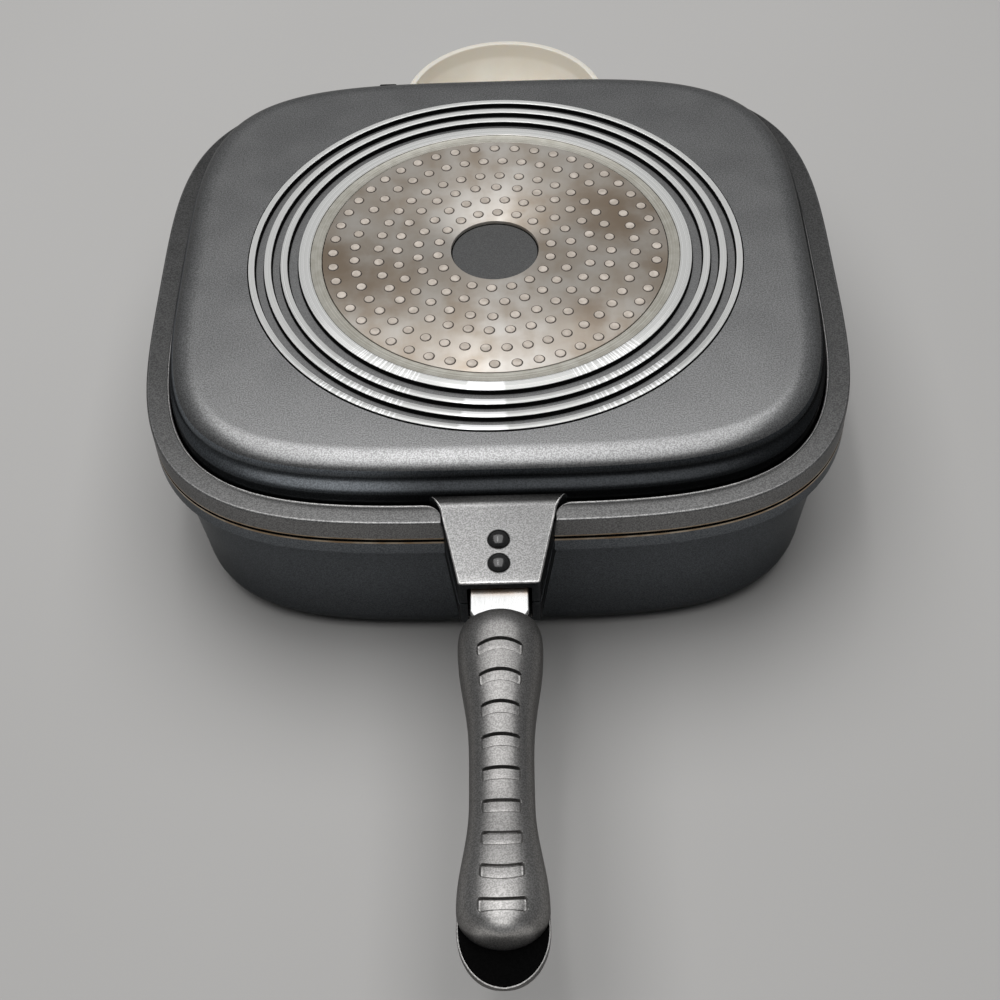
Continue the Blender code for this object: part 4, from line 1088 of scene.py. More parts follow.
@dataclass
class UpperCasting(Casting):
    """Shallow upper pan: skin, rounded shoulder, moat, rib, seal channel and cooking side."""

    skin: float = 0.0974
    crease_inset: float = 0.0110
    shoulder_run: float = 0.0105
    shoulder_drop: float = 0.0066
    front_shift: float = 0.0036
    front_power: float = 1.5
    wall_inset: float = 0.0099
    crease_step: float = 0.0042
    moat: float = 0.0786
    moat_fillet: float = 0.0010
    rib_inset: float = 0.0090
    rib_foot: float = 0.0005
    rib_top: float = 0.0830
    rib_edge: float = 0.0009
    rib_end: float = 0.0203
    rib_end_round: float = 0.0070
    rib_end_inset: float = 0.0001
    rib_end_slope: float = 0.0003
    rib_bead: float = 0.0004
    rib_tilt: float = 0.0003
    lip: float = 0.0006
    stain: float = 0.0005
    channel: tuple[float, float] = (0.0026, 0.0066)
    channel_top: float = 0.0771
    inner_inset: float = 0.0139
    ceiling: float = 0.0928
    ceiling_fillet: float = 0.0080

    def shoulder(self) -> list[Row]:
        """Loops from the skin over the rounded shoulder and the roll under it to the moat's floor.

        Returns:
            Inset, height and finish number of each loop.
        """
        front = np.clip(-self.outline.ways[:, 1], 0, 1) ** self.front_power
        crease_inset = self.crease_inset + self.front_shift * front
        crease = self.skin - self.shoulder_drop
        rows: list[Row] = []
        for lean in leans(0, 86, 19):
            inset = crease_inset + self.shoulder_run * (1 - math.sin(lean))
            level = self.skin - self.shoulder_drop * (1 - math.cos(lean))
            rows.append((inset, level, Coat.PAINT if level > MOAT_TOP else Coat.MOAT))
        for share in np.linspace(0.06, 1, 16):
            inset = crease_inset - (crease_inset - self.wall_inset) * blend(share)
            rows.append((inset, crease + self.crease_step * (0.2 - share), Coat.MOAT))
        foot = (self.wall_inset - self.moat_fillet, self.moat + self.moat_fillet)
        return rows + [(x, z, Coat.MOAT) for x, z in arc(foot, self.moat_fillet, 0, -90, 4)]

    def rib(self) -> list[Row]:
        """Loops over the upright rib, which runs out beside the bracket.

        Returns:
            Inset, height and finish number of each loop.
        """
        spots, moat = self.outline.spots, self.moat
        side = np.where(spots[:, 1] < 0, np.abs(spots[:, 0]), 1.0)
        along = np.clip((side - self.rib_end) / self.rib_end_round, 0, 1)
        inner = self.rib_end_inset + (self.rib_inset - self.rib_end_inset) * np.sqrt(1 - (1 - along) ** 2)
        stand = np.clip((side - self.rib_end) / self.rib_end_slope, 0, 1)
        stand = stand * stand * (3 - 2 * stand)
        top = moat + (self.rib_top - moat) * stand
        edge = np.minimum(self.rib_edge * np.maximum(stand, 0.02), inner * 0.4)
        bead = np.minimum(self.rib_bead * along, inner * 0.1)
        level, small = top - self.rib_tilt * along, edge * 0.5
        rows: list[Row] = [(inner + self.rib_foot, moat, Coat.MOAT)]
        rows.append((inner, moat + np.minimum(self.rib_foot, (top - moat) * 0.3), Coat.MOAT))
        rows.append((inner, moat + (level - moat) * 0.6, Coat.MOAT))
        # The rib's inner rounding takes the light paint of a painted highlight
        for lean in leans(0, 90, 5):
            inset = inner - small * (1 - math.cos(lean))
            rows.append((inset, level + bead * 0.6 - small * (1 - math.sin(lean)), Coat.EDGE_HIGHLIGHT))
        rows.append((inner - small - bead * 0.45, level + bead * 0.5, Coat.EDGE_HIGHLIGHT))
        rows.append((inner - small - bead * 0.95, level + bead * 0.05, Coat.RIB))
        rows.append((inner - small - bead * 1.5, level, Coat.RIB))
        for step, lean in enumerate(leans(90, 0, 6)):
            coat = Coat.RIM if step else Coat.RIB
            rows.append((edge * (1 - math.cos(lean)), top - edge * (1 - math.sin(lean)), coat))
        return rows

    def inside(self) -> list[Row]:
        """Loops from the rim's lip over the seal channel to the ceiling of the cooking side.

        Returns:
            Inset, height and finish number of each loop.
        """
        low, lip, (first, last) = UPPER_BOTTOM, self.lip, self.channel
        rows: list[Row] = [(0.0, low + lip + self.stain, Coat.RIM), (0.0, low + lip, Coat.SCORCHED)]
        # The chamfer under the lip is black, a painted shade in the parting line
        rows += [(lip, low + lip * 0.2, Coat.PAINTED_SHADE), (lip, low, Coat.PAINTED_SHADE)]
        under = [(first, low), (first, self.channel_top), (last, self.channel_top), (last, low)]
        under += [(self.inner_inset - self.mouth_edge, low), (self.inner_inset, low + self.mouth_edge)]
        for lean in leans(0, 90, 9):
            inset = self.inner_inset + self.ceiling_fillet * (1 - math.cos(lean))
            under.append((inset, self.ceiling - self.ceiling_fillet * (1 - math.sin(lean))))
        return rows + [(inset, z, Coat.COOKING) for inset, z in under]

    def make(self, finishes: Finishes) -> Object:
        """Builds the casting.

        Args:
            finishes: The pan's finishes.

        Returns:
            The closed casting, without its base face and its bracket.
        """
        rows = self.shoulder() + self.rib() + self.inside()
        shape = self.shell(rows, self.skin, self.skin - self.recess_depth, self.ceiling)
        materials = [finishes.paint, finishes.cooking, finishes.bare, finishes.shade, finishes.scorched]
        materials += [finishes.moat, finishes.rim_shaded_paint, finishes.edge_highlight, finishes.rib_shaded_paint]
        return Side.UPPER.dress(shape.build("upper_casting", materials), "pan", "graphite_paint")


@dataclass
class LowerCasting(Casting):
    """Deep lower pan: foot rounding, sloping wall, flange and cooking side."""

    skin: float = 0.0006
    rounding: float = 0.0140
    foot: float = 0.0146
    top: float = 0.0730
    neck_inset: float = 0.0055
    neck: float = 0.0652
    neck_step: float = 0.0016
    flange_edge: float = 0.0008
    lip: float = 0.0006
    stain: float = 0.0009
    mouth_inset: float = 0.0095
    wall: float = 0.0040
    inner_floor: float = 0.0052
    slope: float = math.tan(math.radians(6))

    def rows(self) -> list[Row]:
        """Loops from the foot over the flange to the cooking floor.

        Returns:
            Inset, height and finish number of each loop.
        """
        neck_inset, neck, step = self.neck_inset, self.neck, self.neck_step
        edge, top = self.flange_edge, self.top
        wall_foot, rounding = neck_inset + (neck - self.foot) * self.slope, self.rounding
        outer = []
        for lean in leans(0, 90, 15):
            outer.append((wall_foot + rounding * (1 - math.sin(lean)), self.foot - rounding * math.cos(lean)))
        outer += [(neck_inset, neck - step), (neck_inset - step * 0.3, neck - step * 0.3)]
        outer += [(neck_inset - step, neck), (edge, neck), *arc((edge, neck + edge), -edge, 90, 0, 4)]
        outer.append((0.0, top - self.lip - self.stain))
        rows: list[Row] = [(inset, z, Coat.PAINT) for inset, z in outer]
        # The chamfer over the lip is black, a painted shade in the parting line
        rows += [(0.0, top - self.lip, Coat.SCORCHED), (self.lip, top - self.lip * 0.2, Coat.PAINTED_SHADE)]
        rows += [(self.lip, top, Coat.PAINTED_SHADE), (self.mouth_inset - self.mouth_edge, top, Coat.BARE)]
        rows.append((self.mouth_inset, top - self.mouth_edge, Coat.COOKING))
        for lean in leans(0, 90, 9):
            inset = wall_foot + self.wall + rounding * (1 - math.cos(lean))
            rows.append((inset, self.inner_floor + rounding * (1 - math.sin(lean)), Coat.COOKING))
        return rows

    def make(self, finishes: Finishes) -> Object:
        """Builds the casting.

        Args:
            finishes: The pan's finishes.

        Returns:
            The closed casting, without its base face and its bracket.
        """
        shape = self.shell(self.rows(), self.skin, self.skin + self.recess_depth, self.inner_floor)
        materials = [finishes.low_shaded_paint, finishes.cooking, finishes.bare, finishes.shade, finishes.scorched]
        return Side.LOWER.dress(shape.build("lower_casting", materials), "pan", "graphite_paint")


@dataclass
class BaseFace:
    """Turned face of one base: boss, plate pocket, stepped band and three rings in painted grooves."""

    side: Side
    steps: int = 384
    boss: tuple[float, float] = (0.0174, 0.0017)
    pocket: tuple[float, float] = (0.0703, 0.0019)
    band_step: tuple[float, float] = (0.0750, 0.0003)
    band: float = 0.0797
    rings: tuple[tuple[float, float], ...] = ((0.0842, 0.0870), (0.0908, 0.0936), (0.0975, 0.1))
    groove: float = 0.0021
    # Width of the black strip of painted shade on each groove's floor beside its walls
    strip: float = 0.00055
    edge: float = 0.00022
    depth: float = 0.0030

    def fall(self, radius: float) -> list[tuple[float, float, int]]:
        """Rounded outer edge of a turned crest.

        Args:
            radius: Radius at which the crest ends.

        Returns:
            Radius, depth and finish number of each point.
        """
        edge, bend = self.edge, self.edge * 0.3
        spots = [(radius - edge, 0.0), (radius - bend, bend), (radius, edge)]
        return [(out, deep, Cut.BRIGHT) for out, deep in spots]

    def profile(self) -> tuple[list[tuple[float, float]], list[int]]:
        """Turned points from the boss out to the last ring and back underneath.

        Returns:
            Radius and level of each point, and the finish number of each span.
        """
        edge, groove, strip, bend = self.edge, self.groove, self.strip, self.edge * 0.3
        (boss, boss_deep), (pocket, pocket_deep), (step, step_deep) = self.boss, self.pocket, self.band_step
        # Walls of the boss, pocket, step and grooves, and a strip beside each groove wall, take the black of
        # painted shade
        painted, bright, painted_shade = Cut.PAINTED, Cut.BRIGHT, Cut.PAINTED_SHADE
        spots = [(0.0, boss_deep, painted), (boss - edge, boss_deep, painted)]
        spots += [(boss, boss_deep + edge, painted)]
        spots += [(boss, pocket_deep, painted_shade), (pocket, pocket_deep, painted_shade), (pocket, step_deep + edge, painted_shade)]
        spots += [(pocket + edge, step_deep, bright), (step - edge, step_deep, bright), (step, edge, painted_shade)]
        spots += [(step + edge, 0.0, bright), *self.fall(self.band)]
        for start, end in self.rings:
            near = spots[-1][0]
            spots += [(near, groove - edge, painted_shade), (near + edge, groove, painted_shade), (near + strip, groove, painted_shade)]
            spots += [(start - strip, groove, painted), (start - edge, groove, painted_shade)]
            spots += [(start, groove - edge, painted_shade)]
            spots += [(start, edge, painted_shade), (start + bend, bend, bright), (start + edge, 0.0, bright)]
            spots += self.fall(end)
        spots += [(self.rings[-1][1], self.depth, painted_shade), (0.0, self.depth, painted)]
        level = [(radius, self.side.face + self.side.inward * depth) for radius, depth, _ in spots]
        return level, [number for _, _, number in spots[1:]]

    def make(self, finishes: Finishes) -> Object:
        """Builds the turned face.

        Args:
            finishes: The pan's finishes.

        Returns:
            The closed disc that lies in the casting's recess.
        """
        spots, numbers = self.profile()
        shape = revolve(spots, self.steps, numbers)
        name = self.side.node("base_face")
        piece = shape.build(name, [finishes.groove, finishes.turned, finishes.shade], turned=True)
        return self.side.dress(piece, "pan", "machined_aluminium")


@dataclass
class BasePlate:
    """Stainless plate in the base's pocket, with its circles of pressed dots."""

    side: Side
    steps: int = 320
    window: float = 0.0178
    middle_radius: float = 0.044
    radius: float = 0.0700
    sink: float = 0.0002
    thickness: float = 0.0015
    edge: float = 0.00025
    dot_radius: float = 0.00186
    skirt_radius: float = 0.00226
    # Shift of each dot off its dark skirt, which bares the skirt on one side as a painted shadow
    lean: float = -0.0001
    rise: float = 0.00014
    circle_radii: tuple[float, ...] = (0.0231, 0.03125, 0.0395, 0.04725, 0.0570, 0.06575)
    circle_counts: tuple[int, ...] = (18, 24, 28, 36, 44, 48)
    first_bearings: tuple[float, ...] = (6.66, 6.91, 11.44, 7.10, 4.41, 7.12)

    def top(self) -> float:
        """Level of the plate's outer face."""
        return self.side.face + self.side.inward * self.sink

    def make_plate(self, finishes: Finishes) -> Object:
        """Builds the plate with its rounded edges.

        Args:
            finishes: The pan's finishes.

        Returns:
            The plate.
        """
        edge, bend, way, inner, outer = self.edge, self.edge * 0.3, self.side.inward, self.window, self.radius
        top, low = self.top(), self.top() + way * self.thickness
        profile = [(inner, low), (inner, top + way * edge), (inner + bend, top + way * bend)]
        profile += [(inner + edge, top), (self.middle_radius, top), (outer - edge, top), (outer - bend, top + way * bend)]
        profile += [(outer, top + way * edge), (outer, low)]
        piece = revolve(profile, self.steps).build(self.side.node("plate"), [finishes.plate], turned=True)
        return self.side.dress(piece, "base_plate", "perforated_stainless")

    def dot_places(self) -> np.ndarray:
        """Places of the dots on the plate.

        Returns:
            One row of x, y and z for each dot.
        """
        rows = []
        for radius, count, first in zip(self.circle_radii, self.circle_counts, self.first_bearings):
            turns = math.radians(first) + np.arange(count) * math.tau / count
            rows.append(np.column_stack([radius * np.cos(turns), radius * np.sin(turns), np.zeros(count)]))
        spots = np.concatenate(rows)
        spots[:, 1] += PAN_Y
        spots[:, 2] = self.top()
        return spots

    def make_dots(self, tree: PlateDots, finishes: Finishes) -> Object:
        """Scatters the dots by the node tree and keeps them as one plain mesh.

        Args:
            tree: The node tree that draws a dot at each point.
            finishes: The pan's finishes.

        Returns:
            One mesh with every dot of this side.
        """
        values = {
            "Dot Radius": self.dot_radius,
            "Skirt Radius": self.skirt_radius,
            "Rise": self.rise,
            "Lean": self.lean,
            "Turn": self.side.turn,
            "Dot Finish": finishes.dot,
            "Skirt Finish": finishes.seam,
        }
        piece = tree.scatter(self.side.node("plate_dots"), self.dot_places(), values)
        return self.side.dress(piece, "base_plate", "perforated_stainless")


class Tree:
    """Geometry node tree with named inputs that scatters a shape over given points."""

    def __init__(self, name: str, inputs: dict[str, str]) -> None:
        """Starts the tree.

        Args:
            name: Name of the tree.
            inputs: Socket type of each named input besides the points.
        """
        self.group = bpy.data.node_groups.new(name, "GeometryNodeTree")
        face = self.group.interface
        face.new_socket(name="Points", in_out="INPUT", socket_type="NodeSocketGeometry")
        self.names = {
            title: face.new_socket(name=title, in_out="INPUT", socket_type=kind).identifier
            for title, kind in inputs.items()
        }
        face.new_socket(name="Geometry", in_out="OUTPUT", socket_type="NodeSocketGeometry")
        self.entry = self.group.nodes.new("NodeGroupInput")
        self.exit = self.group.nodes.new("NodeGroupOutput")

    def add(self, kind: str, **links: object) -> Node:
        """Adds a node and feeds its sockets; an underscore in a name stands for a space."""
        node = self.group.nodes.new(kind)
        for name, value in links.items():
            socket = node.inputs[name.replace("_", " ")]
            if isinstance(value, NodeSocket):
                self.group.links.new(value, socket)
            else:
                socket.default_value = value
        return node

    def set_out(self, shape: NodeSocket) -> NodeSocket:
        """Sets a shape at each point and makes the copies real.

        Args:
            shape: Mesh that is repeated.

        Returns:
            The real mesh of all copies.
        """
        points, turn = self.entry.outputs["Points"], self.entry.outputs["Turn"]
        placed = self.add("GeometryNodeInstanceOnPoints", Points=points, Instance=shape, Rotation=turn)
        return self.add("GeometryNodeRealizeInstances", Geometry=placed.outputs[0]).outputs[0]

    def paint(self, mesh: NodeSocket, finish: NodeSocket) -> NodeSocket:
        """Gives a mesh its material."""
        return self.add("GeometryNodeSetMaterial", Geometry=mesh, Material=finish).outputs[0]

    def scatter(self, name: str, places: np.ndarray, values: dict[str, object]) -> Object:
        """Evaluates the tree over points and keeps the result as a plain mesh.

        Args:
            name: Name of the new object.
            places: World places of the points.
            values: Value of each named input.

        Returns:
            The plain object at the origin.
        """
        cloud = bpy.data.meshes.new(f"{name}_points")
        cloud.from_pydata(np.asarray(places, float).tolist(), [], [])
        holder = bpy.data.objects.new(f"{name}_points", cloud)
        bpy.context.scene.collection.objects.link(holder)
        modifier = holder.modifiers.new("scatter", "NODES")
        modifier.node_group = self.group
        for title, value in values.items():
            modifier[self.names[title]] = value
        holder.update_tag()
        bpy.context.view_layer.update()
        ready = holder.evaluated_get(bpy.context.evaluated_depsgraph_get())
        mesh = bpy.data.meshes.new_from_object(ready)
        mesh.name = name
        bpy.data.objects.remove(holder)
        mesh.shade_smooth()
        mesh.set_sharp_from_angle(angle=SMOOTH_LIMIT)
        piece = bpy.data.objects.new(name, mesh)
        bpy.context.scene.collection.objects.link(piece)
        return piece


class PlateDots(Tree):
    """Draws a low round dot with a dark skirt at each point."""

    CORNERS = 20
    SKIRT_SHARE = 0.25
    TOP_SHARE = 0.94

    def __init__(self) -> None:
        """Builds the tree."""
        super().__init__(
            "plate_dots",
            {
                "Dot Radius": "NodeSocketFloat",
                "Skirt Radius": "NodeSocketFloat",
                "Rise": "NodeSocketFloat",
                "Lean": "NodeSocketFloat",
                "Turn": "NodeSocketVector",
                "Dot Finish": "NodeSocketMaterial",
                "Skirt Finish": "NodeSocketMaterial",
            },
        )
        entry = self.entry.outputs
        low = self.share(entry["Rise"], self.SKIRT_SHARE)
        around = {"Vertices": self.CORNERS, "Radius_Bottom": entry["Skirt Radius"]}
        skirt = self.add("GeometryNodeMeshCone", Radius_Top=entry["Dot Radius"], Depth=low, **around)
        around["Radius_Bottom"], top = entry["Dot Radius"], self.share(entry["Dot Radius"], self.TOP_SHARE)
        dot = self.add("GeometryNodeMeshCone", Radius_Top=top, Depth=entry["Rise"], **around)
        dark = self.paint(skirt.outputs["Mesh"], entry["Skirt Finish"])
        pale = self.paint(dot.outputs["Mesh"], entry["Dot Finish"])
        # The shift bares the dark skirt on one side, a painted shadow
        lift = self.add("ShaderNodeCombineXYZ", X=entry["Lean"], Y=self.share(entry["Lean"], -1.0), Z=low)
        raised = self.add("GeometryNodeTransform", Geometry=pale, Translation=lift.outputs[0])
        joined = self.add("GeometryNodeJoinGeometry")
        self.group.links.new(dark, joined.inputs[0])
        self.group.links.new(raised.outputs[0], joined.inputs[0])
        self.group.links.new(self.set_out(joined.outputs[0]), self.exit.inputs[0])

    def share(self, socket: NodeSocket, amount: float) -> NodeSocket:
        """Part of a value.

        Args:
            socket: The value.
            amount: What it is multiplied by.

        Returns:
            The product.
        """
        node = self.group.nodes.new("ShaderNodeMath")
        node.operation = "MULTIPLY"
        self.group.links.new(socket, node.inputs[0])
        node.inputs[1].default_value = amount
        return node.outputs[0]


class Fasteners(Tree):
    """Sets one turned shape at each point and gives it a finish."""

    def __init__(self) -> None:
        """Builds the tree."""
        super().__init__(
            "fasteners",
            {"Shape": "NodeSocketObject", "Turn": "NodeSocketVector", "Finish": "NodeSocketMaterial"},
        )
        entry = self.entry.outputs
        model = self.add("GeometryNodeObjectInfo", Object=entry["Shape"])
        dressed = self.paint(self.set_out(model.outputs["Geometry"]), entry["Finish"])
        self.group.links.new(dressed, self.exit.inputs[0])

    def place(
        self,
        name: str,
        profile: Sequence[tuple[float, float]],
        spots: Sequence[Sequence[float]],
        finish: Material,
        turn: tuple[float, float, float] = (0.0, 0.0, 0.0),
        steps: int = 40,
    ) -> Object:
        """Makes a row of equal fasteners as one mesh.

        Args:
            name: Name of the new object.
            profile: Radius and height of the turned shape, from one end to the other.
            spots: World places of the fasteners.
            finish: Their material.
            turn: Turn of each about the world axes.
            steps: Number of faces round.

        Returns:
            The plain object at the origin.
        """
        model = revolve(profile, steps, centre=(0.0, -PAN_Y)).build(f"{name}_model", [finish])
        values = {"Shape": model, "Turn": turn, "Finish": finish}
        piece = self.scatter(name, np.array(spots, float), values)
        bpy.data.objects.remove(model)
        return piece


@dataclass
class Bracket:
    """Channel cast on the front of one pan, with a filleted root and a bevel round its top."""

    side: Side
    top: float = 0.0846
    floor: float = 0.0736
    bridge: float = 0.0783
    lip_reach: float = 0.1302
    root_upper: float = 0.1195
    root_lower: float = 0.1241
    hollow: float = 0.1345
    roof: float = 0.0816
    wall: float = 0.0030
    end: float = 0.1607
    rim_reach: float = 0.1315
    root_half_width: float = 0.0203
    end_half_width: float = 0.0145
    edge: float = 0.0009
    inner_edge: float = 0.0008
    flare: float = 0.0042
    flare_run: float = 0.0052
    fillet: float = 0.0020
    fillet_run: float = 0.0045
    fillet_power: float = 2.0
    wall_reach_upper: float = 0.1212
    wall_reach_lower: float = 0.1260
    flank_lean: float = 0.45
    flank_start: float = 0.1195
    # Leans and nearness of the outer rounded edges that take the painted highlight
    edge_highlight_leans: tuple[float, float] = (0.6, 0.997)
    edge_highlight_share: float = 1.1

    def half_width(self, reach: float) -> float:
        """Half width with the flare toward the pan's wall.

        Args:
            reach: Distance in front of the pan's middle.

        Returns:
            The half width there.
        """
        share = (reach - self.rim_reach) / (self.end - self.rim_reach)
        wide = self.root_half_width + share * (self.end_half_width - self.root_half_width)
        flare = self.flare if self.side is Side.UPPER else self.edge
        return wide + flare * (1 - math.sqrt(1 - self.swell(reach, self.flare_run) ** 2))

    def swell(self, reach: float, run: float) -> float:
        """Share of the way through a concave round that ends at the pan's wall."""
        wall = self.wall_reach_upper if self.side is Side.UPPER else self.wall_reach_lower
        return min(max((wall + run - reach) / run, 0), 1)

    def roofed(self, half: float, floor: float, top: float, edge: float) -> list[tuple[float, float]]:
        """Line up one side, over a roof with rounded corners and down the other side.

        Args:
            half: Half width.
            floor: Level of both ends.
            top: Level of the roof.
            edge: Radius of the corners.

        Returns:
            The points across and up, from left to right.
        """
        left = arc((-half + edge, top - edge), edge, 180, 90, 5)
        right = arc((half - edge, top - edge), edge, 90, 0, 5)
        return [(-half, floor), *left, (0.0, top), *right, (half, floor)]

    def section(self, reach: float, shrink: float, floor: float, open_below: bool) -> np.ndarray:
        """One ring across the channel.

        Args:
            reach: Distance in front of the pan's middle.
            shrink: How far the outside is drawn in.
            floor: Level of the underside.
            open_below: Whether the hollow is cut at this reach.

        Returns:
            The outside from left to right and the inside back again.
        """
        top = self.top + self.fillet * self.swell(reach, self.fillet_run) ** self.fillet_power - shrink
        outer = self.roofed(self.half_width(reach) - shrink, floor, top, self.edge)
        inside = self.half_width(reach) - self.wall
        if open_below:
            inner = self.roofed(inside, floor, self.roof, self.inner_edge)
        else:
            inner = [(x, floor) for x in np.linspace(-inside, inside, len(outer))]
        return np.array([(x, -reach, z) for x, z in [*outer, *reversed(inner)]])

    def rings(self) -> list[np.ndarray]:
        """Every ring from the root to the rounded end.

        Returns:
            The points of each ring.
        """
        upper = self.side is Side.UPPER
        root = self.root_upper if upper else self.root_lower
        wall = self.wall_reach_upper if upper else self.wall_reach_lower
        reaches = [root, *np.linspace(wall, wall + self.flare_run, 14)]
        rings = [self.section(reach, 0, self.bridge if upper else self.floor, False) for reach in reaches]
        if upper:
            rings += [self.section(self.lip_reach, 0, floor, False) for floor in (self.bridge, self.floor)]
        rings.append(self.section(self.hollow, 0, self.floor, False))
        straight = np.linspace(self.hollow, self.end - self.edge, 9)
        rings += [self.section(reach, 0, self.floor, True) for reach in straight]
        for lean in leans(18, 90, 5):
            reach = self.end - self.edge * (1 - math.sin(lean))
            rings.append(self.section(reach, self.edge * (1 - math.cos(lean)), self.floor, True))
        return rings

    def make(self, finishes: Finishes) -> Object:
        """Builds the bracket.

        Args:
            finishes: The pan's finishes.

        Returns:
            The closed channel.
        """
        shape = Shape()
        rows = shape.loft(self.rings())
        half = len(rows[0]) // 2
        for row in (rows[0], rows[-1]):
            shape.band(row[:half], row[half:][::-1], closed=False)
        paint = finishes.root if self.side is Side.UPPER else finishes.low_shaded_paint
        piece = self.side.build(shape, "bracket", [paint, finishes.flank_shade, finishes.edge_highlight])
        self.shade_flanks(piece.data)
        return self.side.dress(piece, "pan", "graphite_paint")

    def shade_flanks(self, mesh: Mesh) -> None:
        """Gives the upright faces the near-black paint of painted shade and the rounded outer edges the light
        paint of a painted highlight.

        Args:
            mesh: The bracket's mesh, in place.
        """
        near, (low, high) = self.edge * self.edge_highlight_share, self.edge_highlight_leans
        for face in mesh.polygons:
            lean, reach = abs(face.normal.z), PAN_Y - face.center.y
            outer = self.half_width(reach) - abs(face.center.x) < near or reach > self.end - near
            # Upright faces take painted shade; rounded outer edges take a painted highlight
            if lean < self.flank_lean and reach > self.flank_start:
                face.material_index = Cast.FLANK_SHADE
            elif low < lean < high and outer:
                face.material_index = Cast.EDGE_HIGHLIGHT


def slab(outline: np.ndarray, low: float, high: float, edge: float, number: int = 0) -> Shape:
    """Flat piece with rounded edges.

    Args:
        outline: Plan points in order round the piece, without holes.
        low: Level of one face.
        high: Level of the other face.
        edge: Radius of the edges.
        number: Finish number.

    Returns:
        The closed shape, flat across Z.
    """
    ahead, behind = np.roll(outline, -1, 0) - outline, outline - np.roll(outline, 1, 0)
    ahead /= np.linalg.norm(ahead, axis=1)[:, None]
    behind /= np.linalg.norm(behind, axis=1)[:, None]
    mean = ahead + behind
    mean /= np.linalg.norm(mean, axis=1)[:, None]
    away = np.stack([mean[:, 1], -mean[:, 0]], 1)
    area = np.sum(outline[:, 0] * np.roll(outline[:, 1], -1) - np.roll(outline[:, 0], -1) * outline[:, 1])
    away *= np.sign(area) / np.clip(np.sum(mean * ahead, 1), 0.5, 1)[:, None]
    rings = []
    for degrees in (90, 60, 30, 0):
        lean = math.radians(degrees)
        plan = outline - away * edge * (1 - math.cos(lean))
        rings.append(np.column_stack([plan, np.full(len(plan), low + edge * (1 - math.sin(lean)))]))
    rings += [ring * (1, 1, -1) + (0, 0, low + high) for ring in reversed(rings)]
    shape = Shape()
    shape.solid(rings, number)
    return shape


def sideways(shape: Shape) -> Shape:
    """Turns a slab drawn in (y, z) with its thickness along Z so that the thickness runs along X."""
    shape.spots = [spots[:, [2, 0, 1]] for spots in shape.spots]
    return shape


def block(x: tuple[float, float], y: tuple[float, float], z: tuple[float, float], edge: float) -> Shape:
    """Rounded block between spans along each axis.

    Args:
        x: Span along X.
        y: Span along Y.
        z: Span along Z.
        edge: Radius of all edges.

    Returns:
        The closed block.
    """
    corners = []
    for cx, cy, start in ((x[1], y[1], 0), (x[0], y[1], 90), (x[0], y[0], 180), (x[1], y[0], 270)):
        middle = (cx - edge * np.sign(cx - sum(x) / 2), cy - edge * np.sign(cy - sum(y) / 2))
        corners += arc(middle, edge, start, start + 90, 4)
    return slab(np.array(corners), z[0], z[1], edge)


@dataclass
class Tang:
    """Flat steel strap between a bracket and its grip."""

    side: Side
    half_width: float = 0.0102
    start: float = 0.1370
    shoulder: float = 0.1700
    neck_half_width: float = 0.0070
    neck: float = 0.1760
    end: float = 0.2260
    low: float = 0.0788
    high: float = 0.0813
    edge: float = 0.0004

    def make(self, finishes: Finishes) -> Object:
        """Builds the strap.

        Args:
            finishes: The pan's finishes.

        Returns:
            The closed strap.
        """
        run = [(self.half_width, self.start), (self.half_width, self.shoulder)]
        run += [(self.neck_half_width, self.neck), (self.neck_half_width, self.end)]
        outline = [(x, -reach) for x, reach in run] + [(-x, -reach) for x, reach in reversed(run)]
        shape = slab(np.array(outline), self.low, self.high, self.edge)
        return self.side.dress(self.side.build(shape, "strap", [finishes.strap]), "tang", "tang_steel")


@dataclass
class Rivets:
    """Two domed rivets that hold a strap in its bracket."""

    side: Side
    reaches: tuple[float, float] = (0.1411, 0.1518)
    seat: float = 0.0848
    head_radius: float = 0.00415
    head_height: float = 0.0026
    shank_radius: float = 0.0022
    tail: float = 0.0785
    tail_radius: float = 0.0034
    tail_height: float = 0.0014
    steps: int = 56

    def make(self, tree: Fasteners, finishes: Finishes) -> None:
        """Builds the rivets.

        Args:
            tree: Node tree that sets fasteners.
            finishes: The pan's finishes.
        """
        end, wide, seat, head = self.tail - self.tail_height, self.tail_radius, self.seat, self.head_radius
        profile = [(0.0, end), (wide * 0.85, end), (wide, end + self.tail_height * 0.3), (wide, self.tail)]
        profile += [(self.shank_radius, self.tail), (self.shank_radius, seat), (head, seat)]
        profile += [(head * math.cos(a), seat + self.head_height * math.sin(a)) for a in leans(14, 82, 10)]
        profile.append((0.0, seat + self.head_height))
        for index, reach in enumerate(self.reaches, 1):
            spot = (0.0, PAN_Y - reach, self.side.level)
            name = self.side.node(f"rivet_{index}")
            piece = tree.place(name, profile, [spot], finishes.enamel, self.side.turn, self.steps)
            self.side.dress(piece, f"tang_rivet_{index}", "black_fastener")


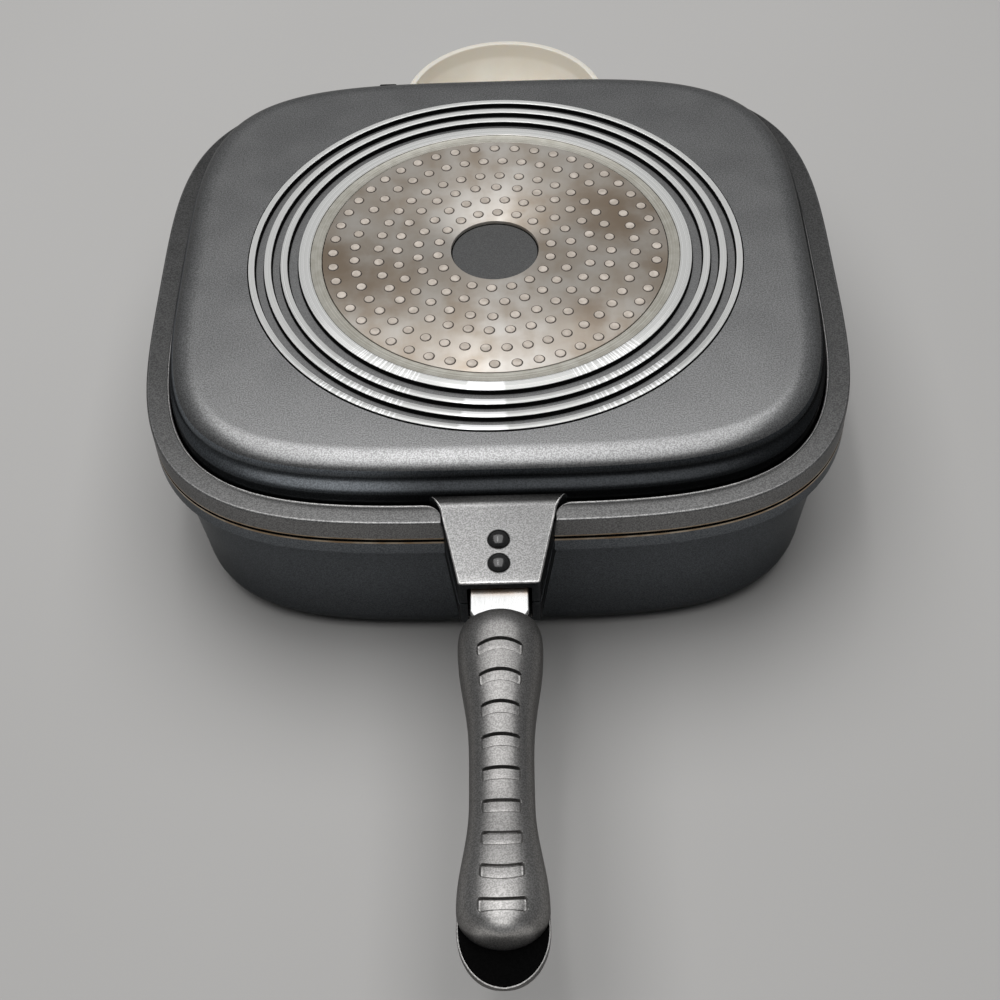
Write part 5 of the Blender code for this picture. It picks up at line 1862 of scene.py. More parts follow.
@dataclass
class Grip:
    """Long waisted grip with a flat mating face, a domed back and curved finger slots."""

    side: Side
    start: float = 0.1675
    first: float = 0.1823
    waist_reach: float = 0.2415
    half_widths: Triple = (0.0148, 0.0107, 0.0146)
    heights: Triple = (0.0140, 0.0108, 0.0138)
    waist_powers: tuple[float, float] = (2.4, 1.2)
    upper_end: tuple[float, float] = (0.2925, 0.0125)
    lower_end: tuple[float, float] = (0.3045, 0.0190)
    lip: float = 0.0013
    root_fall: float = 1.34
    nose_falls: tuple[float, float] = (0.3, 1.5)
    root_power: float = 2.4
    crown_power: float = 2.3
    corner: float = 0.00025
    rim: float = 0.0005
    pocket: float = 0.0025
    pocket_least: float = 0.0004
    sharp_limit: float = math.radians(32)
    back_shares: tuple[float, ...] = (0, 0.1, 0.2, 0.3, 0.38, 0.44, 0.475, 0.495, 0.508, 0.52, 0.53, 0.54,
                                      0.56, 0.6, 0.65, 0.71, 0.77, 0.82, 0.87, 0.91, 0.94, 0.965, 0.983,
                                      0.995, 1.0)
    slots: int = 9
    slot_first: float = 0.1876
    slot_pitch: float = 0.01165
    slot_width: float = 0.0050
    slot_half_share: float = 0.54
    slot_limit_share: float = 0.75
    slot_halves: tuple[float, ...] = (0.0080, 0.0073, 0.0067, 0.0066, 0.0064, 0.0064, 0.0067, 0.0071, 0.0078)
    slot_round: float = 0.0014
    slot_wall: float = 0.0007
    slot_beside: tuple[float, float] = (0.0006, 0.0001)
    land_edge: float = 0.0015
    land_ends: tuple[float, float] = (0.001, 0.006)
    bows: tuple[float, float] = (0.0024, 0.0018)
    bow_end: tuple[float, float] = (0.006, 0.010)
    cut_at: tuple[float, ...] = (0, 0.00006, 0.0003, 0.00072, 0.00082, 0.0014, 0.0026, 0.0038, 0.0042, 0.0043,
                                 0.0045, 0.0047, 0.0050)
    cut_deep: tuple[float, ...] = (0, 0.0022, 0.0026, 0.0026, 0.0009, 0.0009, 0.0009, 0.0009, 0.0010, 0.0013,
                                   0.0012, 0.0005, 0)
    groove_end: float = 0.00078
    groove_base: float = 0.0006
    groove_shares: tuple[float, ...] = (1, 1, 1, 1, 0.9, 0.6, 0.45, 0.45, 0.5)
    station_gap: float = 0.00005
    hair: float = 1e-7
    face_gap: float = 0.0002
    face_span: tuple[float, float] = (0.00004, 0.0022)
    face_edge: float = 0.0003
    magnet_reach: float = 0.27
    magnet: tuple[tuple[float, float], ...] = ((0.0, 0.0025), (0.0048, 0.0025), (0.0050, 0.0027),
                                               (0.0050, 0.0053), (0.0048, 0.0055), (0.0, 0.0055))
    screw_reach: float = 0.205
    screw: tuple[tuple[float, float], ...] = ((0.0, 0.0009), (0.0011, 0.0009), (0.0013, 0.0003),
                                              (0.0031, 0.0002), (0.0033, 0.0004), (0.0016, 0.0019),
                                              (0.0016, 0.0077), (0.0, 0.0077))

    def tip(self) -> tuple[float, float]:
        """Reach of the nose and the length over which it rounds off."""
        return self.upper_end if self.side is Side.UPPER else self.lower_end

    def last(self) -> float:
        """Reach at which the nose begins to round off."""
        end, nose = self.tip()
        return end - nose

    def size(self, reach: float) -> tuple[float, float]:
        """Size before the ends round off.

        Args:
            reach: Distance in front of the pan's middle.

        Returns:
            Half width and height there.
        """
        if reach < self.waist_reach:
            share, other = blend((self.waist_reach - reach) / (self.waist_reach - self.first)), 0
        else:
            share, other = blend((reach - self.waist_reach) / (self.last() - self.waist_reach)), 2
        swell = share ** self.waist_powers[other // 2]
        wide = self.half_widths[1] + swell * (self.half_widths[other] - self.half_widths[1])
        return wide, self.heights[1] + share * (self.heights[other] - self.heights[1])

    def half_width(self, reach: float, inset: float = 0.0) -> float:
        """Half width of the plan, rounded ends included.

        Args:
            reach: Distance in front of the pan's middle.
            inset: How far the outline is drawn in.

        Returns:
            The half width there.
        """
        nose = self.tip()[1]
        if reach < self.first:
            root, power = self.half_widths[0] - inset, self.root_power
            share = min((self.first - reach) / root, 1.0)
            return root * (1 - share**power) ** (1 / power)
        if reach > self.last():
            share = (reach - self.last()) / (nose - inset)
            return (self.half_widths[2] - inset) * math.sqrt(max(1 - share * share, 0))
        return self.size(reach)[0] - inset

    def bow(self, reach: float) -> float:
        """Bow of the lines across the grip, fading toward both ends.

        Args:
            reach: Distance in front of the pan's middle.

        Returns:
            How far the line's middle stands nearer the pan.
        """
        place = (reach - self.slot_first) / (self.slot_pitch * (self.slots - 1))
        bow = self.bows[0] * (1 - place) - self.bows[1] * place
        before = min(max((reach - self.start) / (self.slot_first - self.start), 0), 1)
        past, run = self.bow_end
        after = min(max((self.last() + past - reach) / run, 0), 1)
        return bow * before * after

    def stations(self) -> list[float]:
        """Reaches of the rings, dense over the slots and the rounded ends.

        Returns:
            The reaches in order.
        """
        reaches = [self.first - self.half_widths[0] * math.sin(a) for a in leans(88, 3, 20)]
        reaches += [self.last() + self.tip()[1] * math.sin(a) for a in leans(3, 88, 20)]
        plain = np.linspace(self.first, self.last(), 70).tolist()
        if self.side is Side.UPPER:
            starts = [self.slot_first + index * self.slot_pitch for index in range(self.slots)]
            far, close = self.slot_beside
            for near in starts:
                end = near + self.slot_width
                reaches += [near - far, near - close, end + close, end + far]
                reaches += [near + cut for cut in self.cut_at]
            for near in starts[:-1]:
                low, high = near + self.slot_width + self.land_edge, near + self.slot_pitch - self.land_edge
                reaches += np.linspace(low, high, 4).tolist()
            low, high = starts[0] - self.land_ends[0], starts[-1] + self.land_ends[1]
            plain = [reach for reach in plain if not low < reach < high]
        ordered = sorted(reaches + plain)
        kept = [ordered[0]]
        for reach in ordered[1:]:
            if reach - kept[-1] > self.station_gap:
                kept.append(reach)
        return kept

    def slot_half(self, reach: float) -> float:
        """Half width of the slots at a reach."""
        middle = self.slot_first + self.slot_width / 2
        places = [middle + index * self.slot_pitch for index in range(self.slots)]
        return float(np.interp(reach, places, self.slot_halves))

    def cut(self, reach: float, across: np.ndarray, wide: float) -> np.ndarray:
        """Depth of the slots at a nominal reach, across the grip.

        Args:
            reach: Reach of the ring before it is bowed.
            across: Shares of the half width.
            wide: The half width.

        Returns:
            The depth at each share.
        """
        place = (reach - self.slot_first - self.slot_width / 2) / self.slot_pitch
        index = min(max(round(place), 0), self.slots - 1)
        along = reach - self.slot_first - index * self.slot_pitch
        if self.side is Side.LOWER or not -self.hair <= along <= self.slot_width + self.hair:
            return np.zeros_like(across)
        deep, base = float(np.interp(along, self.cut_at, self.cut_deep)), self.groove_base
        if along < self.groove_end and deep > base:
            deep = base + (deep - base) * self.groove_shares[index]
        from_edge = min(along, self.slot_width - along)
        bend = self.slot_round
        short = bend - math.sqrt(max(bend**2 - max(bend - from_edge, 0) ** 2, 0))
        reachable = self.slot_half(reach) - short - np.abs(across) * wide
        return deep * np.clip(reachable / self.slot_wall, 0, 1)

    def ring(self, reach: float) -> np.ndarray:
        """One ring over the grip's back and along its mating face with the pocket.

        Args:
            reach: Distance in front of the pan's middle.

        Returns:
            The ring's points.
        """
        wide, low = self.half_width(reach), UPPER_BOTTOM
        full_width = wide if reach > self.first else self.size(self.first)[0]
        near = min(self.slot_half(reach) / max(full_width, 0.001), self.slot_limit_share)
        plain = np.array([*(-share for share in reversed(self.back_shares)), *self.back_shares[1:]])
        across = np.sign(plain) * np.interp(np.abs(plain), (0, self.slot_half_share, 1), (0, near, 1))
        tall = self.size(min(max(reach, self.first), self.last()))[1]
        full = self.half_widths[0] if reach < self.first else self.half_widths[2]
        roundness = min(wide / full, 1.0) if not self.first <= reach <= self.last() else 1.0
        fall = self.root_fall if reach < self.first else self.nose_falls[int(self.side is Side.LOWER)]
        crown = (tall - self.lip) * roundness**fall
        bowed = reach - self.bow(reach) * np.clip(1 - (across / near) ** 2, 0, 1)
        dome = (1 - np.abs(across) ** self.crown_power) ** (1 / self.crown_power)
        height = low + self.lip + crown * dome - self.cut(reach, across, wide)
        back = np.column_stack([across * wide, -bowed, height])
        corner, inside = min(self.corner, wide * 0.2), self.half_width(reach, self.rim)
        inner = min(max(inside, 0.0), wide - 2 * corner)
        deep = self.pocket if inside > self.pocket_least else 0.0
        bottom = [(wide, low + corner), (wide - corner * 0.3, low + corner * 0.3), (wide - corner, low)]
        bottom += [(inner, low), (inner, low + deep)]
        under = bottom + [(-x, z) for x, z in reversed(bottom)]
        return np.concatenate([back, np.array([(x, -reach, z) for x, z in under])])

    def make_body(self, finishes: Finishes) -> Object:
        """Builds the grip's body.

        Args:
            finishes: The pan's finishes.

        Returns:
            The closed body with its pocket for the face plate.
        """
        shape = Shape()
        shape.solid([self.ring(reach) for reach in self.stations()])
        piece = self.side.build(shape, "grip_body", [finishes.grip], self.sharp_limit)
        return self.side.dress(piece, "grip", "grip_coating")

    def make_face(self, finishes: Finishes) -> Object:
        """Builds the black plate in the grip's mating face.

        Args:
            finishes: The pan's finishes.

        Returns:
            The closed plate.
        """
        inset, last = self.rim + self.face_gap, self.last()
        reaches = [
            *(self.first - (self.half_widths[0] - inset) * np.sin(leans(88, 4, 18))),
            *np.linspace(self.first, last, 40),
            *(last + (self.tip()[0] - last - inset) * np.sin(leans(4, 88, 18))),
        ]
        right = [(self.half_width(reach, inset), -reach) for reach in reaches]
        outline = np.array(right + [(-x, y) for x, y in reversed(right)])
        low, high = (UPPER_BOTTOM + level for level in self.face_span)
        piece = self.side.build(slab(outline, low, high, self.face_edge), "face_plate", [finishes.plastic])
        return self.side.dress(piece, "grip_face", "face_plastic")

    def make_hardware(self, tree: Fasteners, finishes: Finishes) -> None:
        """Builds the magnet behind the face plate and the grip screw.

        Args:
            tree: Node tree that sets fasteners.
            finishes: The pan's finishes.
        """
        for name, profile, reach, finish, node, slot in (
            ("magnet_disc", self.magnet, self.magnet_reach, finishes.nickel, "magnet", "magnet_nickel"),
            ("grip_fixing", self.screw, self.screw_reach, finishes.enamel, "grip_screw", "black_fastener"),
        ):
            turned = [(radius, UPPER_BOTTOM + height) for radius, height in profile]
            spot = (0.0, PAN_Y - reach, self.side.level)
            piece = tree.place(self.side.node(name), turned, [spot], finish, self.side.turn)
            self.side.dress(piece, node, slot)


@dataclass
class Seal:
    """Silicone ring in the upper rim's channel."""

    outline: Outline
    span: tuple[float, float] = (0.0029, 0.0063)
    low: float = 0.0733
    high: float = 0.0768
    lip_share: float = 0.6
    lip_angles: Triple = (0.5, 1.1, 1.57)

    def make(self, finishes: Finishes) -> Object:
        """Builds the seal with a rounded lower lip.

        Args:
            finishes: The pan's finishes.

        Returns:
            The closed ring.
        """
        first, last = self.span
        middle, half = (first + last) / 2, (last - first) / 2
        rise = half * self.lip_share
        out = [(half * math.cos(a), self.low + rise * (1 - math.sin(a))) for a in self.lip_angles]
        rows = [(first, self.high), (last, self.high), (last, self.low + rise)]
        rows += [(middle + x, z) for x, z in out] + [(middle - x, z) for x, z in reversed(out[:-1])]
        rows.append((first, self.low + rise))
        shape = Shape()
        marks = shape.loft([self.outline.loop(inset, z) for inset, z in rows])
        shape.band(marks[-1], marks[0])
        return dress(shape.build("seal_ring", [finishes.rubber]), "lid", "rim_gasket")


@dataclass
class Hinge:
    """Arms of the upper pan between ears of the lower pan, with headed pins and clips."""

    reach: float = 0.1395
    level: float = 0.0680
    knuckle: float = 0.0045
    arm_span: tuple[float, float] = (0.0628, 0.0728)
    ear_spans: tuple[tuple[float, float], ...] = ((0.0570, 0.0625), (0.0731, 0.0786))
    arm_eye: tuple[float, float] = (225, 420)
    ear_eye: tuple[float, float] = (240, 450)
    eye_steps: int = 26
    arm_root: tuple[tuple[float, float], ...] = ((0.1271, 0.0803), (0.1271, 0.0774), (0.1286, 0.0774),
                                                 (0.1312, 0.0736))
    ear_root: tuple[tuple[float, float], ...] = ((0.1224, 0.0727), (0.1224, 0.0660))
    pin_radius: float = 0.0021
    pin_bevel: float = 0.0004
    pin_span: tuple[float, float] = (0.0548, 0.0789)
    head: tuple[float, float] = (0.0038, 0.0016)
    head_edge: float = 0.0003
    head_round: float = 0.0007
    clip: tuple[float, float, float, float] = (0.0024, 0.0040, 0.0558, 0.0567)
    bend: float = 0.0002
    edge: float = 0.0005
    steps: int = 40

    def leaf(self, span: tuple[float, float], eye: tuple[float, float], root: Sequence, hand: int) -> Shape:
        """One flat leaf with a round eye.

        Args:
            span: Distances of its two faces from the pan's middle.
            eye: First and last angle of the eye in degrees.
            root: The other corners, as y and z.
            hand: -1 on the left and 1 on the right.

        Returns:
            The closed leaf.
        """
        outline = np.array(arc((self.reach, self.level), self.knuckle, *eye, self.eye_steps) + list(root))
        low, high = sorted(hand * value for value in span)
        return sideways(slab(outline, low, high, self.edge))

    def along_x(self, profile: Sequence[tuple[float, float]], hand: int) -> Shape:
        """Turned shape round the hinge axis.

        Args:
            profile: Radius and distance along X of each point.
            hand: -1 on the left and 1 on the right.

        Returns:
            The shape in place.
        """
        shape = revolve(profile, self.steps)
        shape.spots = [s[:, [2, 0, 1]] * (hand, 1, 1) + (0, self.reach, self.level) for s in shape.spots]
        return shape

    def make(self, finishes: Finishes) -> None:
        """Builds the leaves, the pins and the clips.

        Args:
            finishes: The pan's finishes.
        """
        arms, ears = Shape(), Shape()
        for hand in (-1, 1):
            arms.merge(self.leaf(self.arm_span, self.arm_eye, self.arm_root, hand))
            for span in self.ear_spans:
                ears.merge(self.leaf(span, self.ear_eye, self.ear_root, hand))
        dress(arms.build("hinge_arms", [finishes.paint]), "lid", "upper_pan")
        dress(ears.build("hinge_ears", [finishes.paint]), "base", "lower_pan")
        radius, (near, far), (head, tall) = self.pin_radius, self.pin_span, self.head
        edge, bend, bevel = self.head_edge, self.bend, self.pin_bevel
        end = far + tall
        pin = [(0.0, near), (radius - bevel, near), (radius, near + bevel), (radius, far), (head - edge, far)]
        pin += [(head, far + edge), (head, end - self.head_round), (head - bend, end - edge)]
        pin += [(head - self.head_round, end), (0.0, end)]
        inner, outer, low, high = self.clip
        clip = [(inner, low), (outer - bend, low), (outer, low + bend), (outer, high - bend)]
        clip += [(outer - bend, high), (inner, high)]
        for hand, word in ((-1, "left"), (1, "right")):
            for name, profile, node in (("pin", pin, "hinge_pin"), ("clip", clip, "pin_clip")):
                piece = self.along_x(profile, hand).build(f"{word}_{name}", [finishes.steel])
                dress(piece, "base", f"{word}_{node}")


@dataclass
class DripTray:
    """Half-moon tray with a rolled lip and two sockets for the rail's prongs."""

    middle: float = 0.0045
    reach: float = 0.1417
    radius: float = 0.0475
    corner: float = 0.0030
    corner_least: float = 0.0008
    rim: float = 0.0680
    bottom: float = 0.0440
    heart_share: float = 0.42
    lip: float = 0.0012
    lip_height: float = 0.0016
    lip_edge: float = 0.0003
    lip_drop: float = 0.0002
    wall: float = 0.0016
    taper: float = 0.0030
    ledge_drop: float = 0.0060
    edge: float = 0.0005
    edge_angles: Triple = (1.05, 0.52, 0.0)
    foot_steps: tuple[tuple[float, float], ...] = ((0.0016, 0.0), (0.0006, 0.0003), (0.0, 0.0014))
    floor_steps: tuple[tuple[float, float], ...] = ((0.0, 0.0016), (0.0005, 0.0006), (0.0016, 0.0))
    sockets: tuple[float, float] = (-0.0135, 0.0225)
    prong: Triple = (0.0040, 0.05925, 0.06075)
    prong_end: float = 0.1557
    mouth_start: float = 0.002
    mouth_edge: float = 0.0002
    socket_wall: float = 0.0021
    socket_bevels: tuple[float, float] = (0.0002, 0.0007)
    socket_edge: float = 0.0006

    def loop(self, inset: float, z: float) -> np.ndarray:
        """The tray's outline at a level.

        Args:
            inset: How far it is drawn in.
            z: The level.

        Returns:
            The outline's points.
        """
        large, small = self.radius - inset, max(self.corner - inset, self.corner_least)
        offset = inset + small
        across = math.sqrt((large - small) ** 2 - offset**2)
        touch = math.degrees(math.atan2(offset, across))
        flat = [(x, inset) for x in np.linspace(-across, across, 10)]
        right = arc((across, offset), small, -90, touch, 6)[1:]
        bowl = arc((0, 0), large, touch, 180 - touch, 64)[1:]
        left = arc((-across, offset), small, 180 - touch, 270, 6)[1:-1]
        plan = np.array([*flat, *right, *bowl, *left]) + (self.middle, self.reach)
        return np.column_stack([plan, np.full(len(plan), z)])

    def rows(self) -> list[tuple[float, float]]:
        """Loops from the underside over the lip to the inner floor.

        Returns:
            Inset and height of each loop.
        """
        foot, rim, edge, small = self.lip + self.taper, self.rim, self.edge, self.lip_edge
        under, inner, floor = rim - self.lip_height, self.lip + self.wall, self.bottom + self.wall
        over = [(edge * (1 - math.sin(a)), rim - edge * (1 - math.cos(a))) for a in self.edge_angles]
        rows = [(foot + inset, self.bottom + rise) for inset, rise in self.foot_steps]
        rows += [(self.lip, under - self.lip_drop), (self.lip - small, under), (small, under)]
        rows += [(0.0, under + small), (0.0, rim - edge), *over]
        rows += [(inner - inset, z) for inset, z in reversed(over)]
        rows += [(inner, rim - edge), (inner + self.taper * 0.3, rim - self.ledge_drop)]
        return rows + [(inner + self.taper + inset, floor + rise) for inset, rise in self.floor_steps]

    def make(self, finishes: Finishes) -> None:
        """Builds the tray, cuts the mouths of its sockets and adds the sockets.

        Args:
            finishes: The pan's finishes.
        """
        shape, mouths, sockets = Shape(), Shape(), Shape()
        marks = shape.loft([self.loop(inset, z) for inset, z in self.rows()])
        heart = (self.middle, self.reach + self.radius * self.heart_share)
        shape.fan(marks[0], (*heart, self.bottom))
        shape.fan(marks[-1], (*heart, self.bottom + self.wall))
        half, low, high = self.prong
        start, grow, end = self.reach + self.lip + self.wall / 2, self.socket_wall, self.prong_end + FIT_GAP
        small, large = self.socket_bevels
        sizes = [(FIT_GAP, end), (FIT_GAP, start), (grow, start), (grow, end + grow * 0.6)]
        sizes += [(grow - small, end + grow * 0.85), (grow - large, end + grow)]
        for middle in self.sockets:
            depth = (self.reach - self.mouth_start, start + self.wall)
            mouth = (middle - half - FIT_GAP, middle + half + FIT_GAP)
            mouths.merge(block(mouth, depth, (low - FIT_GAP, high + FIT_GAP), self.mouth_edge))
            centre = (middle, (low + high) / 2)
            sockets.solid([self.sleeve(centre, size, reach) for size, reach in sizes])
        piece = shape.build("tray_cup", [finishes.tray])
        carve(piece, mouths.build("socket_mouths", [finishes.tray]))
        dress(piece, "tray", "drip_tray")
        dress(sockets.build("tray_sockets", [finishes.tray]), "tray", "drip_tray")

    def sleeve(self, centre: tuple[float, float], grow: float, reach: float) -> np.ndarray:
        """Rounded rectangle round a prong, upright across the tray.

        Args:
            centre: Its middle across and up.
            grow: How far it stands off the prong.
            reach: Distance behind the pan's middle.

        Returns:
            The rectangle's points.
        """
        half, low, high = self.prong
        wide, tall = half + grow, (high - low) / 2 + grow
        edge = min(self.socket_edge, tall * 0.4)
        spots = []
        for side, up, turn in ((1, 1, 0), (-1, 1, 90), (-1, -1, 180), (1, -1, 270)):
            spots += arc((side * (wide - edge), up * (tall - edge)), edge, turn, turn + 90, 4)
        return np.array([(centre[0] + x, reach, centre[1] + z) for x, z in spots])


def carve(piece: Object, cutter: Object) -> None:
    """Cuts one mesh out of another and removes the cutter.

    Args:
        piece: The object that keeps the result as its plain mesh.
        cutter: The object whose volume is taken away.
    """
    modifier = piece.modifiers.new("carve", "BOOLEAN")
    modifier.operation, modifier.object, modifier.solver = "DIFFERENCE", cutter, "EXACT"
    modifier.use_self = True
    bpy.context.view_layer.update()
    mesh = bpy.data.meshes.new_from_object(piece.evaluated_get(bpy.context.evaluated_depsgraph_get()))
    piece.modifiers.clear()
    piece.data = mesh
    bpy.data.objects.remove(cutter)
    mesh.shade_smooth()
    mesh.set_sharp_from_angle(angle=SMOOTH_LIMIT)


@dataclass
class Rail:
    """Steel rail behind the lower pan with its bosses, screws, prongs and the latch that holds the tray."""

    span: tuple[float, float] = (-0.0530, 0.0380)
    reach: tuple[float, float] = (0.1369, 0.1384)
    levels: tuple[float, float] = (0.0545, 0.0655)
    edge: float = 0.0004
    middle: float = 0.0600
    prongs: tuple[float, float] = (-0.0135, 0.0225)
    prong_half: float = 0.0040
    prong_levels: tuple[float, float] = (0.05925, 0.06075)
    prong_start: float = 0.1376
    prong_end: float = 0.1557
    prong_edge: float = 0.0003
    arm_span: tuple[float, float] = (-0.0525, -0.0485)
    arm_end: float = 0.1482
    boss_spacing: float = 0.0300
    boss_radius: float = 0.0048
    boss_span: tuple[float, float] = (0.1236, 0.1366)
    boss_bevel: float = 0.0004
    screw_head: tuple[float, float] = (0.0035, 0.0018)
    screw_radius: float = 0.0017
    screw_tip: float = 0.1306
    screw_edges: tuple[float, float] = (0.0003, 0.0009)
    socket: tuple[float, float] = (0.0014, 0.0012)
    screw_steps: int = 32
    latch_span: tuple[float, float] = (-0.0546, -0.0464)
    latch_reach: tuple[float, float] = (0.1430, 0.1500)
    latch_levels: tuple[float, float] = (0.0567, 0.0728)
    latch_edge: float = 0.0008

    def make(self, tree: Fasteners, finishes: Finishes) -> None:
        """Builds the rail, its bosses and screws, and the latch.

        Args:
            tree: Node tree that sets fasteners.
            finishes: The pan's finishes.
        """
        shape = block(self.span, self.reach, self.levels, self.edge)
        half = self.prong_half
        arms = [(middle - half, middle + half, self.prong_end) for middle in self.prongs]
        for left, right, end in [*arms, (*self.arm_span, self.arm_end)]:
            shape.merge(block((left, right), (self.prong_start, end), self.prong_levels, self.prong_edge))
        dress(shape.build("rail_bar", [finishes.steel]), "base", "tray_rail")
        lift = (-math.pi / 2, 0.0, 0.0)
        (start, end), wide, bevel = self.boss_span, self.boss_radius, self.boss_bevel
        boss = [(0.0, start), (wide, start), (wide, end - bevel), (wide - bevel, end), (0.0, end)]
        spots = [(hand * self.boss_spacing, PAN_Y, self.middle) for hand in (-1, 1)]
        piece = tree.place("rail_bosses", boss, spots, finishes.paint, lift)
        dress(piece, "base", "lower_pan")
        (head, tall), (small, large), (mouth, foot) = self.screw_head, self.screw_edges, self.socket
        shank, tip, seat = self.screw_radius, self.screw_tip, self.reach[1] + FIT_GAP
        screw = [(0.0, tip), (shank, tip), (shank, seat), (head, seat), (head, seat + tall * 0.5)]
        screw += [(head - small, seat + tall * 0.8), (head - large, seat + tall), (mouth, seat + tall)]
        screw += [(foot, seat + tall * 0.45), (0.0, seat + tall * 0.45)]
        for spot, word in zip(spots, ("left", "right")):
            piece = tree.place(f"{word}_rail_fixing", screw, [spot], finishes.steel, lift, self.screw_steps)
            dress(piece, "base", f"{word}_rail_screw")
        latch = block(self.latch_span, self.latch_reach, self.latch_levels, self.latch_edge)
        dress(latch.build("latch_block", [finishes.plastic]), "base", "tray_latch")


@dataclass(frozen=True)
class Lamp:
    """Soft rectangular light that hangs over the pan and shines straight down."""

    name: str
    place: Triple
    size: tuple[float, float]
    power: float

    def hang(self) -> None:
        """Adds the light to the scene."""
        data = bpy.data.lights.new(self.name, "AREA")
        data.shape, (data.size, data.size_y), data.energy = "RECTANGLE", self.size, self.power
        lamp = bpy.data.objects.new(self.name, data)
        lamp.location = self.place
        lamp.rotation_euler = Vector((0.0, 0.0, -self.place[2])).to_track_quat("-Z", "Y").to_euler()
        bpy.context.scene.collection.objects.link(lamp)


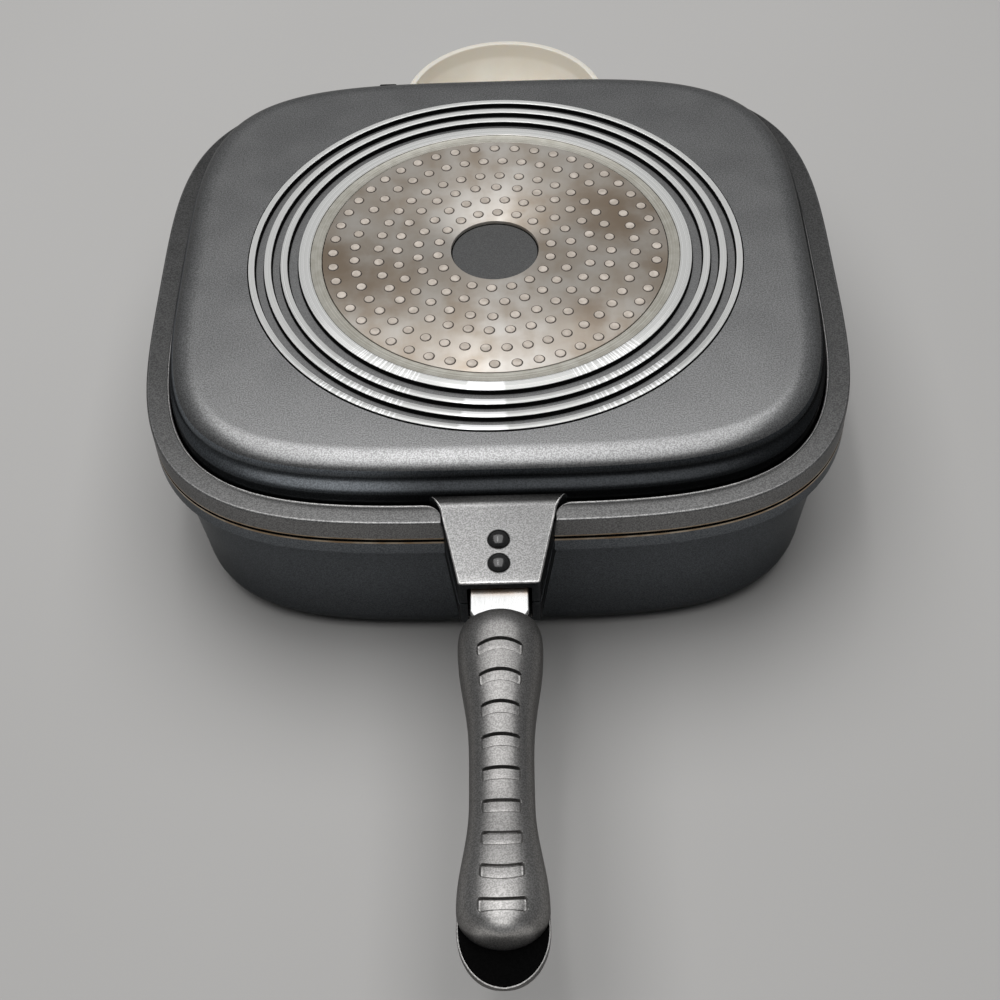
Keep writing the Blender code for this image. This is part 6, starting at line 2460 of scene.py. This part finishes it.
@dataclass
class Studio:
    """Camera, pale floor, soft lights and surroundings."""

    place: Triple = (0.01052, -0.45893, 0.54641)
    pitch: float = 0.864178
    yaw: float = 0.0249968
    roll: float = 0.0444368
    lens: float = 60.01
    sensor: float = 36.0
    clip: tuple[float, float] = (0.01, 50.0)
    floor_tone: float = 0.524
    floor_dark: Triple = (1.0, 0.985, 0.965)
    floor_light: Triple = (1.03, 1.015, 0.995)
    # Painted light: the floor's tone grows from front to back
    floor_painted_light: tuple[float, float, float, float] = (-0.3, 0.9, 0.96, 1.13)
    floor_size: float = 40.0
    fade: tuple[float, float] = (0.6, 2.2)
    far_level: float = 0.36
    mirrored: float = 0.33
    around: float = 0.05
    air: Triple = (0.97, 1.0, 1.03)
    lamps: tuple[Lamp, ...] = (
        Lamp("overhead", (-0.11, 0.10, 1.5), (1.64, 2.04), 23.6),
        Lamp("strip", (-0.15, 0.10, 1.49), (0.10, 1.1), 2.2),
    )

    def camera(self) -> None:
        """Sets the camera fitted to the photograph."""
        pitch, yaw, roll = self.pitch, self.yaw, self.roll
        look = Vector((-math.sin(yaw) * math.cos(pitch), math.cos(yaw) * math.cos(pitch), -math.sin(pitch)))
        level = Vector((math.cos(yaw), math.sin(yaw), 0))
        drop = look.cross(level)
        right = math.cos(roll) * level + math.sin(roll) * drop
        down = -math.sin(roll) * level + math.cos(roll) * drop
        data = bpy.data.cameras.new("photo_camera")
        data.lens, data.sensor_width, data.sensor_fit = self.lens, self.sensor, "HORIZONTAL"
        data.clip_start, data.clip_end = self.clip
        camera = bpy.data.objects.new("photo_camera", data)
        turn = Matrix((right, -down, -look)).transposed().to_4x4()
        camera.matrix_world = Matrix.Translation(self.place) @ turn
        bpy.context.scene.collection.objects.link(camera)
        bpy.context.scene.camera = camera

    def seen(self, tree: NodeTree, least: float) -> NodeSocket:
        """Glow for what the camera sees: whole when seen straight, in part by way of metal or a clear piece.

        Args:
            tree: Node tree of the floor or the world.
            least: Glow for every other ray.

        Returns:
            The glow.
        """
        path, total = tree.nodes.new("ShaderNodeLightPath"), None
        shares = {"Is Camera Ray": 1.0, "Is Glossy Ray": self.mirrored, "Is Transmission Ray": self.mirrored}
        for name, share in shares.items():
            node = tree.nodes.new("ShaderNodeMath")
            node.operation = "MULTIPLY_ADD"
            tree.links.new(path.outputs[name], node.inputs[0])
            node.inputs[1].default_value = self.far_level * share
            node.inputs[2].default_value = least
            if total:
                tree.links.new(total, node.inputs[2])
            total = node.outputs[0]
        return total

    def floor(self) -> None:
        """Lays the pale floor, with painted light that makes it lighter toward the back, and whose far part stays
        as pale as the near one.
        """
        graph = Graph("pale_floor")
        dark, light = shaded(self.floor_dark, self.floor_tone), shaded(self.floor_light, self.floor_tone)
        ground = graph.mix(graph.spread(graph.noise(3), 0.3, 0.7), dark, light)
        graph.surface(Base_Color=graph.dim(ground, graph.spread(graph.axis("Y"), *self.floor_painted_light)))
        graph.surface(Roughness=0.8, Specular_IOR_Level=0.1, Emission_Color=colour(*self.floor_dark))
        far = graph.spread(graph.radius(), *self.fade)
        graph.surface(Emission_Strength=graph.times(far, self.seen(graph.tree, 0.0)))
        half = self.floor_size / 2
        mesh = bpy.data.meshes.new(FLOOR_NAME)
        corners = [(-half, -half, 0), (half, -half, 0), (half, half, 0), (-half, half, 0)]
        mesh.from_pydata(corners, [], [(0, 1, 2, 3)])
        mesh.materials.append(graph.material)
        floor = bpy.data.objects.new(FLOOR_NAME, mesh)
        bpy.context.scene.collection.objects.link(floor)

    def surroundings(self) -> None:
        """Sets the soft grey light that comes from all round."""
        world = bpy.data.worlds.new("studio")
        bpy.context.scene.world = world
        world.use_nodes = True
        back = world.node_tree.nodes["Background"]
        back.inputs["Color"].default_value = colour(*self.air)
        world.node_tree.links.new(self.seen(world.node_tree, self.around), back.inputs["Strength"])

    def make(self) -> None:
        """Builds the whole studio."""
        self.camera()
        self.floor()
        for lamp in self.lamps:
            lamp.hang()
        self.surroundings()
        bpy.context.scene.view_settings.view_transform = "Standard"


def main() -> None:
    """Builds every sub-assembly in order, then the studio."""
    logging.basicConfig(level=logging.INFO, format="%(name)s: %(message)s")
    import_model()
    finishes, outline = Finishes(), Outline()
    dots, fasteners = PlateDots(), Fasteners()
    UpperCasting(outline).make(finishes)
    LowerCasting(outline).make(finishes)
    Seal(outline).make(finishes)
    for side in Side:
        BaseFace(side).make(finishes)
        plate = BasePlate(side)
        plate.make_plate(finishes)
        plate.make_dots(dots, finishes)
        Bracket(side).make(finishes)
        Tang(side).make(finishes)
        Rivets(side).make(fasteners, finishes)
        grip = Grip(side)
        grip.make_body(finishes)
        grip.make_face(finishes)
        grip.make_hardware(fasteners, finishes)
    Hinge().make(finishes)
    DripTray().make(finishes)
    Rail().make(fasteners, finishes)
    Studio().make()


if __name__ == "__main__":
    main()
